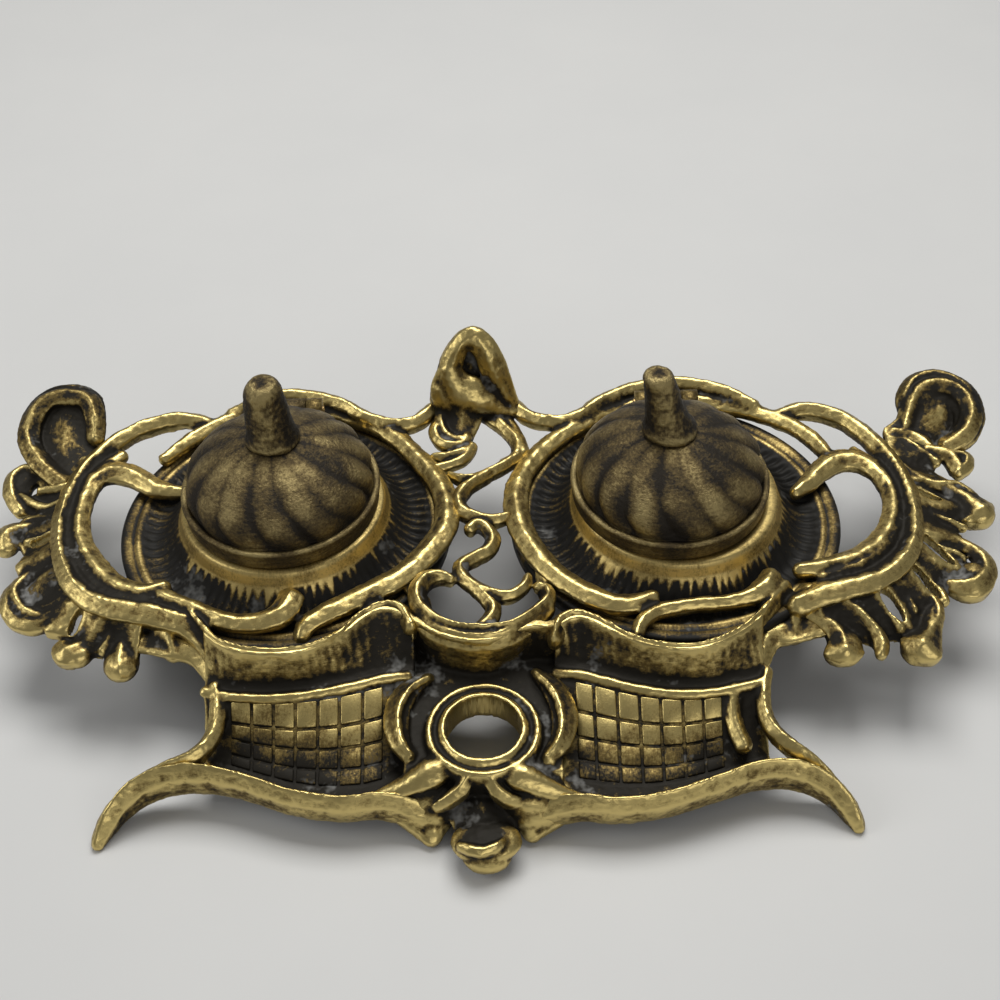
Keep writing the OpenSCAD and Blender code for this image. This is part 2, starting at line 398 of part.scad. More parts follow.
// Leafy corners that carry the wings down to the tray.
module corners() {
    scroll([[-88, -16, 21, 4, 2], [-80, -17, 21, 5, 2.2], [-72, -20, 20, 4, 2.6], [-68, -27, 18, 2, 2]]);
    scroll([[-84, -9, 25, 3, 2.4], [-80, -15, 23, 3, 2.4], [-78, -21, 20, 2, 2]]);
    scroll([[77, -16, 21, 4, 2], [69, -17, 21, 5, 2.2], [63, -19, 20, 4, 2.6], [60.5, -26, 18, 2, 2]]);
    scroll([[74, -9, 25, 3, 2.4], [70, -14, 23, 3, 2.4], [69, -20, 20, 2, 2]]);
}

module casting() {
    difference() {
        union() {
            frame_left();
            frame_right();
            middle_scrolls();
            crest();
            ear_left();
            ear_right();
            wing_left();
            wing_right();
            corners();
            tray_floor();
            trellis(-62, -26, 7);
            trellis(15, 50, 7);
            tray_rims();
            lip_left();
            lip_right();
            ring_collar();
            front_foot();
        }
        // the horns and the bud are filed flat where they stand on the desk
        translate([-200, -200, -20]) cube([400, 400, 20]);
        // room for the two wells, whose dishes are held up against the frames
        for (x = well_x) translate([x, well_y, seat_z - 12]) cylinder(r = dish_r + 0.4, h = 12, $fn = 36);
    }
}

module stand() {
    color([0.72, 0.56, 0.25]) translate(origin) difference() {
        // a resize of nothing joins the ornament into one skin before it is bored
        resize([0, 0, 0]) casting();
        translate([ring_pos[0], ring_pos[1], 0]) cylinder(r = ring_hole_r, h = 30, $fn = bore_fn);
        for (k = [0, 1]) at_screws(k) translate([0, 0, -1]) cylinder(r = screw_r, h = 3.6, $fn = 24);
    }
}

// Puts its children at the three screws of one well, at the height of the dish's rim.
module at_screws(k) {
    for (q = screw_places[k])
        translate([well_x[k] + (dish_r - q[1]) * cos(q[0]), well_y + (dish_r - q[1]) * sin(q[0]), seat_z])
            children();
}

rim_h = 3.4;                                  // height of the dish's rim
dish_low = seat_z - 1.8;                      // lowest ring of the dish's upper face
mouth_r = cup_r + 0.4;                        // the collar's inner wall
seat_h = 3.2;                                 // depth of the step that carries the liner
flute_from = collar_r + 2.4;                  // where the flutes begin, near the collar's foot

module well_profile() {
    polygon([[0, 0], [cup_r - 1, 0], [cup_r, 1.2], [cup_r + 0.6, dish_low - 4],
        [cup_r + 3.5, dish_low - 2.4],
             [dish_r - 8.6, dish_low - 2], [dish_r - 6.6, seat_z - rim_h], [dish_r, seat_z - rim_h],
             [dish_r, seat_z - 0.5], [dish_r - 0.5, seat_z], [dish_r - 2.4, seat_z],
             [dish_r - 3, seat_z - 0.9],
             [dish_r - 3.8, seat_z], [dish_r - 4.6, seat_z], [dish_r - 5.4, seat_z - 0.5],
             [flute_from + 1, dish_low], [flute_from - 1, dish_low + 0.4], [collar_r + 0.9, dish_low + 3],
             [collar_r + 0.3, collar_top - 1.4], [collar_r, collar_top - 0.5], [collar_r - 0.5, collar_top],
             [mouth_r, collar_top], [mouth_r, collar_top - seat_h], [cup_r - cup_wall, collar_top - seat_h],
             [cup_r - cup_wall, cup_wall + 1], [cup_r - cup_wall - 1, cup_wall], [0, cup_wall]]);
}

module well(k) {
    flute_length = dish_r - 5.6 - flute_from;
    slope = atan((seat_z - 0.5 - dish_low) / (flute_length - 0.6));
    color([0.42, 0.34, 0.2]) translate(origin) difference() {
        union() {
            translate([well_x[k], well_y, 0]) rotate_extrude($fn = bore_fn) well_profile();
            for (s = [-1, 1]) hinge_lug(k, s);
        }
        // the dish is fluted with tapered grooves
        translate([well_x[k], well_y, 0]) for (i = [0 : dish_flutes - 1])
            rotate([0, 0, 360 * (i + 0.5) / dish_flutes])
                translate([flute_from, 0, dish_low + 0.15]) rotate([0, 90 - slope, 0])
                    cylinder(r1 = 0.75, r2 = 1.3, h = flute_length, $fn = 24);
        at_screws(k) translate([0, 0, -rim_h - 1]) cylinder(r = screw_r + 0.1, h = rim_h + 2, $fn = 24);
        translate([well_x[k], hinge_y, hinge_z]) rotate([0, 90, 0])
            cylinder(r = pin_r, h = 60, center = true, $fn = 32);
    }
}

// One of the two knuckles on the back of the well's collar, with its foot.
module hinge_lug(k, s) {
    inner = knuckle_w / 2 + 0.3;
    from = s > 0 ? inner : -inner - lug_w;
    translate([well_x[k] + from, 0, 0]) {
        translate([0, hinge_y, hinge_z]) rotate([0, 90, 0]) cylinder(r = knuckle_r, h = lug_w, $fn = 32);
        translate([0, well_y, 0]) rotate([90, 0, 90]) linear_extrude(lug_w)
            polygon([[collar_r - 3, collar_top - 6], [hinge_y - well_y - 1, collar_top - 4],
                     [hinge_y - well_y + knuckle_r - 0.4, hinge_z - 1], [hinge_y - well_y, hinge_z],
                     [hinge_y - well_y - knuckle_r + 0.3, hinge_z - 0.6], [collar_r - 1, collar_top - 1],
                     [collar_r - 3, collar_top - 1]]);
    }
}

// Round-head screw, head down, through the dish's rim into the frame above.
module well_screws(k) {
    color([0.6, 0.48, 0.25]) translate(origin) at_screws(k) difference() {
        union() {
            translate([0, 0, -rim_h - 1.4]) cylinder(r1 = 1.9, r2 = 2.4, h = 0.7, $fn = 32);
            translate([0, 0, -rim_h - 0.7]) cylinder(r = 2.4, h = 0.7, $fn = 32);
            translate([0, 0, -rim_h - 0.1]) cylinder(r = screw_r, h = rim_h + 2.5, $fn = 32);
        }
        translate([-3, -0.35, -rim_h - 1.5]) cube([6, 0.7, 0.7]);
    }
}

liner_r = cup_r - cup_wall - liner_space;
module liner(k) {
    color([0.93, 0.92, 0.88]) translate(origin + [well_x[k], well_y, 0]) rotate_extrude($fn = bore_fn)
        polygon([[0, cup_wall], [liner_r - 2, cup_wall], [liner_r, cup_wall + 2],
                 [liner_r, collar_top - seat_h], [mouth_r - 0.4, collar_top - seat_h],
                 [mouth_r - 0.4, collar_top - 1.2], [mouth_r - 0.9, collar_top - 0.7],
                 [liner_r - liner_wall + 0.5, collar_top - 0.7], [liner_r - liner_wall, collar_top - 1.2],
                 [liner_r - liner_wall, cup_wall + liner_wall + 3],
                 [liner_r - liner_wall - 3, cup_wall + liner_wall],
                 [0, cup_wall + liner_wall]]);
}

brim_top = lid_z + brim_h;
lid_bore = brim_r - 3.6;                      // radius of the hollow under the brim
dome_top = brim_top + dome_h;
// Outside of the dome as [radius, share of the dome's height].
dome_shape = [[brim_r - 1.6, -0.08], [brim_r - 1.2, 0.12], [brim_r - 1.4, 0.3], [brim_r - 3.2, 0.5],
              [brim_r - 6.4, 0.69], [brim_r - 10.6, 0.85], [brim_r - 14.6, 0.95], [brim_r - 18.2, 1]];
function lobe(a) = 1 - lobe_depth + lobe_depth * pow(abs(cos(lobes * a / 2)), 0.7);
function dome_ring(p, twist) = [for (i = [0 : lobes * 4 - 1])
    let (a = 360 * i / (lobes * 4) + 180 / lobes, r = p[0] * lobe(a))
    [r * cos(a + twist), -r * sin(a + twist), brim_top + dome_h * p[1]]];

module lid(k) {
    x = well_x[k] + lid_shift[k];
    color([0.45, 0.36, 0.2]) translate(origin) difference() {
        union() {
            translate([x, well_y, 0]) {
                skin([for (i = [0 : len(dome_shape) - 1]) dome_ring(dome_shape[i], 3 * i)]);
                rotate_extrude($fn = bore_fn)
                    polygon([[lid_bore, lid_z], [brim_r - 0.4, lid_z], [brim_r, lid_z + 0.5],
                             [brim_r, brim_top - 1.2], [brim_r + 0.5, brim_top - 0.4],
                             [brim_r + 0.2, brim_top + 0.3],
                             [brim_r - 0.8, brim_top + 0.3], [brim_r - 1.4, brim_top - 0.2],
                             [brim_r - 3, brim_top],
                             [lid_bore, brim_top]]);
            }
            translate([well_x[k] - knuckle_w / 2, 0, 0]) {
                translate([0, hinge_y, hinge_z]) rotate([0, 90, 0])
                    cylinder(r = knuckle_r, h = knuckle_w, $fn = 32);
                translate([0, well_y, 0]) rotate([90, 0, 90]) linear_extrude(knuckle_w)
                    polygon([[brim_r - 2, lid_z + 0.8], [brim_r + 1.5, lid_z + 0.8],
                        [hinge_y - well_y, hinge_z - 1.4],
                             [hinge_y - well_y, hinge_z + knuckle_r - 0.3],
                             [hinge_y - well_y - 2.6, brim_top - 0.4],
                             [brim_r - 2, brim_top - 0.4]]);
            }
        }
        translate([x, well_y, 0]) {
            rotate_extrude($fn = bore_fn)
                polygon([[0, lid_z - 1], [lid_bore + 0.01, lid_z - 1], [lid_bore + 0.01, brim_top - 0.4],
                         [lid_bore - 0.6, brim_top + dome_h * 0.22], [lid_bore - 3, brim_top + dome_h * 0.45],
                         [lid_bore - 7.4, brim_top + dome_h * 0.66], [lid_bore - 13, brim_top + dome_h * 0.8],
                         [0, brim_top + dome_h * 0.8]]);
            cylinder(r = tail_r, h = 100, $fn = 32);
        }
        translate([well_x[k], hinge_y, hinge_z]) rotate([0, 90, 0])
            cylinder(r = pin_r + run_fit, h = 60, center = true, $fn = 32);
    }
}

module hinge_pin(k) {
    half = knuckle_w / 2 + 0.3 + lug_w;
    color([0.6, 0.48, 0.25]) translate(origin + [well_x[k], hinge_y, hinge_z]) rotate([0, 90, 0])
        translate([0, 0, -half - 0.4]) cylinder(r = pin_r, h = 2 * half + 0.8, $fn = 32);
}

// Finial: a stubby bud that leans a little, on a threaded tail through the dome.
// [sideways lean, height as a share, radius along X, radius along Y]
finial_shape = [[[0, 0, 6.4, 6.2], [0, 0.06, 6.6, 6.4], [-0.1, 0.22, 5.8, 5.6], [-0.4, 0.42, 5.4, 5.2],
                 [-0.6, 0.65, 5, 4.8], [-0.6, 0.86, 4.4, 4.4], [-0.5, 0.97, 3.2, 3.4], [-0.5, 1, 1.8, 2]],
                [[-0.9, 0, 6.6, 6.2], [-1, 0.07, 6.8, 6.4], [-1.6, 0.2, 5.6, 5.4], [-2.6, 0.42, 4.7, 4.7],
                 [-3.6, 0.68, 4.1, 4.2], [-4.5, 0.9, 3.7, 3.8], [-4.8, 0.98, 3.1, 3.2], [-4.8, 1, 2, 2.2]]];
module finial(k) {
    color([0.4, 0.31, 0.18]) translate(origin + [well_x[k] + lid_shift[k], well_y, dome_top]) {
        skin([for (p = finial_shape[k]) [for (i = [0 : 13]) let (a = 360 * i / 14)
            [p[0] + p[2] * cos(a), -p[3] * sin(a), p[1] * finial_h]]]);
        translate([0, 0, -6.5]) cylinder(r = tail_r, h = 7.5, $fn = 32);
    }
}
module finial_nut(k) {
    top = brim_top + dome_h * 0.8;
    color([0.5, 0.4, 0.22]) translate(origin + [well_x[k] + lid_shift[k], well_y, top - 2]) difference() {
        cylinder(r = 3.2, h = 2, $fn = 6);
        translate([0, 0, -1]) cylinder(r = tail_r, h = 4, $fn = 32);
    }
}

stand();
well(0);  // well_left
well(1);  // well_right
well_screws(0);  // well_screws_left
well_screws(1);  // well_screws_right
liner(0);  // liner_left
liner(1);  // liner_right
lid(0);  // lid_left
lid(1);  // lid_right
hinge_pin(0);  // hinge_pin_left
hinge_pin(1);  // hinge_pin_right
finial(0);  // finial_left
finial(1);  // finial_right
finial_nut(0);  // finial_nut_left
finial_nut(1);  // finial_nut_right
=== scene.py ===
# Looks of the desk inkstand: an openwork cast brass stand with a pen tray and a round
# hole, two wells with fluted dishes, hinged lobed lids with bud finials, and white liners.
# Every size below is in millimetres as on the drawing; MM turns it into the scene's metres.
import math

import bmesh
import bpy
import numpy as np
from mathutils import Matrix, Vector, noise
from mathutils.kdtree import KDTree


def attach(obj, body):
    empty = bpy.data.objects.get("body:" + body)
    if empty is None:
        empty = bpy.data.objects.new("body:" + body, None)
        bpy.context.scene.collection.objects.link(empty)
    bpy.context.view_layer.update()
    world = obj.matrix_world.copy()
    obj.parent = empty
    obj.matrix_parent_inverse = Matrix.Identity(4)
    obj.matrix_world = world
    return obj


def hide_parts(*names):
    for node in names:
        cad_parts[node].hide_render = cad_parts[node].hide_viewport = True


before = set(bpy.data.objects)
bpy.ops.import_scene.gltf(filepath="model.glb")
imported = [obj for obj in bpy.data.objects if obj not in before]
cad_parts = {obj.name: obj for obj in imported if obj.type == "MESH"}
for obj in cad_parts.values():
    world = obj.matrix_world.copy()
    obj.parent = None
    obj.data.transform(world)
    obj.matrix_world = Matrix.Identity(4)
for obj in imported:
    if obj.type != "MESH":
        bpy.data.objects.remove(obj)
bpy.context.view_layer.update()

# Camera, at the photograph's height and angle: it looks down at the inkstand over the
# writer's shoulder, with a long lens and a slight roll to the right.
EYE = Vector((0.0004, -0.2464, 0.2940))
LOOK_DOWN, ROLL = math.radians(44.5), math.radians(1.3)
FILM, LENS_SHARE = 36, 1.5            # millimetres of film, and the focal length as a share of it
ahead = Vector((0, math.cos(LOOK_DOWN), -math.sin(LOOK_DOWN)))
across = Vector((1, 0, 0))
upward = across.cross(ahead)
side = across * math.cos(ROLL) - upward * math.sin(ROLL)
top = across * math.sin(ROLL) + upward * math.cos(ROLL)
camera = bpy.data.objects.new("camera", bpy.data.cameras.new("camera"))
camera.data.sensor_width, camera.data.lens = FILM, FILM * LENS_SHARE
camera.data.clip_start = 0.01
camera.matrix_world = Matrix.Translation(EYE) @ Matrix((side, top, -ahead)).transposed().to_4x4()
bpy.context.scene.collection.objects.link(camera)
bpy.context.scene.camera = camera

# Light: a broad soft window above and behind, a weaker one at the left and a low fill in
# front. The room is dim grey, so that the brass has dark parts to reflect.
LIT = Vector((0, 0, 0.02))            # every lamp looks at the middle of the inkstand

def soft_lamp(name, place, size, watts, tint=(1, 1, 1)):
    lamp = bpy.data.objects.new(name, bpy.data.lights.new(name, "AREA"))
    lamp.data.shape = "RECTANGLE"
    lamp.data.size, lamp.data.size_y = size
    lamp.data.energy = watts
    lamp.data.color = tint
    lamp.location = place
    lamp.rotation_euler = (LIT - Vector(place)).to_track_quat("-Z", "Y").to_euler()
    bpy.context.scene.collection.objects.link(lamp)

soft_lamp("window_above", (0.05, 0.35, 0.85), (0.7, 0.45), 6.4, (1, 0.99, 0.97))
soft_lamp("window_left", (-0.8, -0.1, 0.55), (0.4, 0.5), 1.6)
soft_lamp("fill_front", (0.35, -0.85, 0.5), (0.7, 0.4), 1.3, (1, 0.98, 0.95))
room = bpy.data.worlds.new("room")
room.use_nodes = True
sky = room.node_tree.nodes["Background"].inputs
sky["Color"].default_value, sky["Strength"].default_value = (0.62, 0.62, 0.62, 1), 0.31
bpy.context.scene.world = room
bpy.context.scene.view_settings.view_transform = "Standard"

# Floor: the pale grey desk top that the inkstand stands on, slightly mottled.
def new_material(name):
    material = bpy.data.materials.new(name)
    material.use_nodes = True
    tree = material.node_tree
    return material, tree, tree.nodes["Principled BSDF"]

def add_node(tree, kind, inputs=(), **settings):
    node = tree.nodes.new("ShaderNode" + kind)
    for key, value in settings.items():
        setattr(node, key, value)
    for key, value in dict(inputs).items():
        if isinstance(value, bpy.types.NodeSocket):
            tree.links.new(value, node.inputs[key])
        else:
            node.inputs[key].default_value = value
    return node

desk, tree, shader = new_material("pale_desk")
where = add_node(tree, "TexCoord").outputs["Object"]
mottle = add_node(tree, "TexNoise", {"Vector": where, "Scale": 9.0, "Detail": 5.0, "Roughness": 0.6})
paint = add_node(tree, "MixRGB", {"Fac": mottle.outputs["Fac"], "Color1": (0.615, 0.62, 0.615, 1),
                                  "Color2": (0.69, 0.69, 0.675, 1)})
tree.links.new(paint.outputs["Color"], shader.inputs["Base Color"])
shader.inputs["Roughness"].default_value = 0.55

def put_in_scene(name, bm, unit=1.0):
    bmesh.ops.scale(bm, vec=(unit, unit, unit), verts=bm.verts)
    piece = bpy.data.objects.new(name, bpy.data.meshes.new(name))
    bm.to_mesh(piece.data)
    bm.free()
    bpy.context.scene.collection.objects.link(piece)
    return piece

bm = bmesh.new()
bmesh.ops.create_grid(bm, x_segments=1, y_segments=1, size=3.0)
floor = put_in_scene("desk_top", bm)
floor.data.materials.append(desk)

# Finish of the casting: polished brass on what hands and cloth reach, brown on the walls,
# black in the hollows, and a little white polish dried in the grooves. The wear is read
# from the shape itself, with painted highlight added on faces that look up and painted
# reflection on faces turned to the camera, and the fine scratches run along each scroll.
def brass(name, polished, brown, black, shine=0.3, pits=0.0, residue=0.5):
    material, tree, shader = new_material(name)
    where = add_node(tree, "TexCoord").outputs["Object"]
    # this attribute holds rubbing and patina from the shape together with painted highlight and painted
    # reflection
    wear_and_sheen = add_node(tree, "Attribute", attribute_name="wear_and_sheen").outputs["Fac"]
    grain = add_node(tree, "Attribute", attribute_name="grain").outputs["Vector"]

    def cloud(vector, scale, detail, roughness):
        return add_node(tree, "TexNoise", {"Vector": vector, "Scale": scale, "Detail": detail,
                                           "Roughness": roughness}).outputs["Fac"]

    def reading(value, low, high, start, end):
        return add_node(tree, "MapRange", {"Value": value, "From Min": low, "From Max": high,
                                           "To Min": start, "To Max": end}).outputs[0]

    def sum_up(operation, *inputs, **settings):
        return add_node(tree, "Math", dict(enumerate(inputs)), operation=operation, **settings).outputs[0]

    blotch, speck = cloud(where, 260.0, 6.0, 0.68), cloud(where, 1400.0, 3.0, 0.7)
    scratch = cloud(grain, 1.0, 4.0, 0.65)
    wear_and_sheen_level = wear_and_sheen
    for source, share in ((blotch, 0.65), (speck, 0.65), (scratch, 0.45)):
        wear_and_sheen_level = sum_up("MULTIPLY_ADD", sum_up("SUBTRACT", source, 0.5), share, wear_and_sheen_level)
    colour = add_node(tree, "ValToRGB", {"Fac": wear_and_sheen_level})
    ramp = colour.color_ramp
    ramp.elements[0].position, ramp.elements[0].color = 0.16, (*black, 1)
    ramp.elements[1].position, ramp.elements[1].color = 0.78, (*polished, 1)
    step = ramp.elements.new(0.42)
    step.color = (*brown, 1)
    metal = reading(wear_and_sheen_level, 0.15, 0.42, 0.55, 1.0)
    rough = reading(wear_and_sheen_level, 0.2, 0.85, 0.62, shine)
    hollow = reading(wear_and_sheen_level, 0.34, 0.16, 0.0, 1.0)
    white = sum_up("MULTIPLY", hollow, reading(cloud(where, 75.0, 4.0, 0.7), 0.58, 0.70, 0.0, residue))
    paint = add_node(tree, "MixRGB", {"Fac": white, "Color1": colour.outputs["Color"],
                                      "Color2": (0.42, 0.42, 0.40, 1)})
    metal = sum_up("SUBTRACT", metal, white, use_clamp=True)
    relief = sum_up("MULTIPLY_ADD", scratch, 0.5, speck)
    bump = add_node(tree, "Bump", {"Height": relief, "Strength": 0.35 + pits,
                                   "Distance": 0.00012 + 0.0003 * pits})
    tree.links.new(paint.outputs["Color"], shader.inputs["Base Color"])
    tree.links.new(metal, shader.inputs["Metallic"])
    tree.links.new(rough, shader.inputs["Roughness"])
    tree.links.new(bump.outputs["Normal"], shader.inputs["Normal"])
    return material

polished_brass = brass("polished_brass", (0.66, 0.52, 0.205), (0.19, 0.135, 0.048), (0.012, 0.0095, 0.005))

# A scroll of the casting: a wax rod rolled on the bench, swelling and tapering along its
# line, with a ridge on its back and a flatter belly. Each station of its line gives x, y
# and height, and then half the rod's width and half its thickness; what a station leaves
# out is as in the one before it.
MM = 0.001
SHIFT = Vector((0.4, 3.0, 0.0))       # from the drawing's zero to under the middle of the outline
DECK = 27.0                           # height of the middle of the openwork
THINNEST = 0.2
ROD_STEPS = 7                         # rings of the rod from one station to the next
ROUNDED_END = [(0.32, 0.70), (0.62, 0.52), (0.86, 0.28)]    # share of the width, share of the reach

def smooth_line(stations, steps):
    last, line = len(stations) - 1, []
    for i in range(last):
        near = [stations[min(max(k, 0), last)] for k in (i - 1, i, i + 1, i + 2)]
        for t in (k / steps for k in range(steps)):
            line.append([0.5 * (2 * b + (c - a) * t + (2 * a - 5 * b + 4 * c - d) * t * t
                                + (3 * b - a - 3 * c + d) * t ** 3) for a, b, c, d in zip(*near)])
    return line + [list(stations[-1])]

def wax(bm):
    bmesh.ops.recalc_face_normals(bm, faces=bm.faces)
    mesh = bpy.data.meshes.new("wax")
    bm.to_mesh(mesh)
    bm.free()
    return mesh

def draw_out(bm, turns):
    face, held = bm.faces[:][0], Matrix.Identity(4)
    for number, turn in enumerate(turns):
        if number:
            grown = bmesh.ops.extrude_face_region(bm, geom=[face])["geom"]
            face = next(g for g in grown if isinstance(g, bmesh.types.BMFace))
        bmesh.ops.transform(bm, matrix=turn @ held.inverted(), verts=face.verts)
        held = turn
    return wax(bm)

def roll_scroll(stations, up=(0, 0, 1), ridge=1.2, deck=True):
    bm = bmesh.new()
    for v in bmesh.ops.create_circle(bm, cap_ends=True, segments=28, radius=1)["verts"]:
        x, y = v.co.x, v.co.y
        if y >= -0.01:
            v.co.y = 0.25 + 0.75 * (1 - abs(x) ** ridge)
        else:
            v.co.y = 0.25 - 1.25 * abs(y) ** 0.7
            v.co.x = math.copysign(abs(x) ** 0.4 * (1 - 0.2 * abs(y)), x)
    full = [stations[0]]
    for station in stations[1:]:
        full.append((*station, *full[-1][len(station):]))
    line = smooth_line([(*q[:2], q[2] + (DECK if deck else 0), *q[3:]) for q in full], ROD_STEPS)
    last = len(line) - 1
    places = [Vector(q[:3]) + SHIFT for q in line]
    runs = [(places[min(i + 1, last)] - places[max(i - 1, 0)]).normalized() for i in range(last + 1)]
    rings = [(0, -reach, share) for share, reach in ROUNDED_END] + [(i, 0, 1) for i in range(last + 1)]
    rings += [(last, reach, share) for share, reach in reversed(ROUNDED_END)]
    turns = []
    for i, reach, share in rings:
        run, (w, h) = runs[i], (max(q, THINNEST) for q in line[i][3:])
        wide = run.cross(Vector(up)).normalized()
        turn = Matrix((wide * w * share, wide.cross(run) * h * share, run)).transposed().to_4x4()
        turns.append(Matrix.Translation(places[i] + run * reach * min(w, h)) @ turn)
    return draw_out(bm, turns), list(zip(places, runs))

def rolled(*lines, **shape):
    return [roll_scroll(line, **shape) for line in lines]

# Casting: the scrolls of one part run together into one skin, their joins soften as the
# wax does, and the surface stays a little uneven.
def smoothed(points, edges, rounds):
    count = np.bincount(edges.ravel(), minlength=len(points))[:, None] + 1.0
    for _ in range(rounds):
        total = points.copy()
        for axis in range(3):
            total[:, axis] += np.bincount(edges[:, 0], points[edges[:, 1], axis], len(points))
            total[:, axis] += np.bincount(edges[:, 1], points[edges[:, 0], axis], len(points))
        points = total / count
    return points

def spots(mesh):
    points, out = np.zeros(len(mesh.vertices) * 3), np.zeros(len(mesh.vertices) * 3)
    mesh.vertices.foreach_get("co", points)
    mesh.vertex_normals.foreach_get("vector", out)
    return points.reshape(-1, 3) / MM, out.reshape(-1, 3)

def note(mesh, name, values):
    kind, field = ("FLOAT", "value") if name == "wear_and_sheen" else ("FLOAT_VECTOR", "vector")
    mesh.attributes.new(name, kind, "POINT").data.foreach_set(field, values)

DULL = -0.36                          # wear of a flat wall that nothing rubs
# RIDGES and HUMPS follow the shape: rubbed ridges and humps brighter, patina dark in the hollows.
# PAINTED_TOP_SHEEN is painted highlight on faces that look up, PAINTED_FRONT_REFLECTION painted reflection
# on faces turned to the camera.
RIDGES, HUMPS, PAINTED_TOP_SHEEN, PAINTED_FRONT_REFLECTION = 1.1, 1.4, 0.42, 0.72

def wear_and_painted_light(mesh, lift, spared):
    points, out = spots(mesh)
    edges = np.zeros(len(mesh.edges) * 2, int)
    mesh.edges.foreach_get("vertices", edges)
    edges = edges.reshape(-1, 2)
    near = ((points - smoothed(points, edges, 8)) * out).sum(1)
    far = ((points - smoothed(points, edges, 60)) * out).sum(1)
    # rubbing and patina from the shape, plus painted highlight on upward faces and painted reflection on
    # faces turned to the camera
    wear_and_sheen = (DULL + lift + RIDGES * near + HUMPS * np.clip(far, -0.3, 0.38) + PAINTED_TOP_SHEEN * out[:, 2]
            + PAINTED_FRONT_REFLECTION * np.maximum(0, -out[:, 1]) ** 2)
    for x, y, z, reach, less in spared:
        gap = np.linalg.norm(points - np.array(Vector((x, y, z)) + SHIFT), axis=1)
        wear_and_sheen -= less * np.exp(-(gap / reach) ** 2)
    note(mesh, "wear_and_sheen", np.clip(wear_and_sheen, 0, 1.1))

ALONG, ROUND_ABOUT = 0.35, 3.2        # scratches are long along a scroll and close together across it
APART = 17.0                          # start of one scroll's scratches after another's

def comb(mesh, lines):
    tree = KDTree(sum(len(line) for line in lines))
    marks = []
    for number, line in enumerate(lines):
        gone = APART * number
        for k, (place, run) in enumerate(line):
            gone += (place - line[k - 1][0]).length if k else 0
            tree.insert(place, len(marks))
            marks.append((gone, place, run))
    tree.balance()
    grain = np.zeros((len(mesh.vertices), 3))
    for v in mesh.vertices:
        spot = v.co / MM
        gone, place, run = marks[tree.find(spot)[1]]
        away = spot - place
        away -= run * away.dot(run)
        grain[v.index] = ((gone + (spot - place).dot(run)) * ALONG, *(away.xy * ROUND_ABOUT))
        grain[v.index][2] = (away.z + away.y * 0.7) * ROUND_ABOUT
    note(mesh, "grain", grain.ravel())

def finish_piece(piece, material, body, node):
    piece.data.polygons.foreach_set("use_smooth", [True] * len(piece.data.polygons))
    piece.data.materials.append(material)
    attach(piece, body)
    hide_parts(node)

def cast(name, rods, material=polished_brass, voxel=0.4, soften=3, uneven=0.2, cut=(), lift=0.0,
         spared=(), body="stand", node="stand"):
    bm = bmesh.new()
    for mesh, _ in rods:
        bm.from_mesh(mesh)
    piece = put_in_scene(name, bm, MM)
    skin = piece.modifiers.new("skin", "REMESH")
    skin.mode, skin.voxel_size, skin.use_smooth_shade = "VOXEL", voxel * MM, True
    for tool in cut:
        hole = piece.modifiers.new("hole", "BOOLEAN")
        hole.object, hole.solver = tool, "MANIFOLD"
    ease = piece.modifiers.new("ease", "SMOOTH")
    ease.factor, ease.iterations = 0.5, soften
    mesh = bpy.data.meshes.new_from_object(piece.evaluated_get(bpy.context.evaluated_depsgraph_get()))
    piece.modifiers.clear()
    piece.data = mesh
    for tool in cut:
        bpy.data.objects.remove(tool)
    points, out = spots(mesh)
    lumps = [noise.noise(Vector(p) * 0.28) + 0.5 * noise.noise(Vector(p) * 0.9) for p in points]
    mesh.vertices.foreach_set("co", ((points + out * np.array(lumps)[:, None] * uneven) * MM).ravel())
    mesh.update()
    wear_and_painted_light(mesh, lift, spared)
    comb(mesh, [line for _, line in rods])
    mesh.materials.clear()
    mesh.polygons.foreach_set("material_index", [0] * len(mesh.polygons))
    finish_piece(piece, material, body, node)

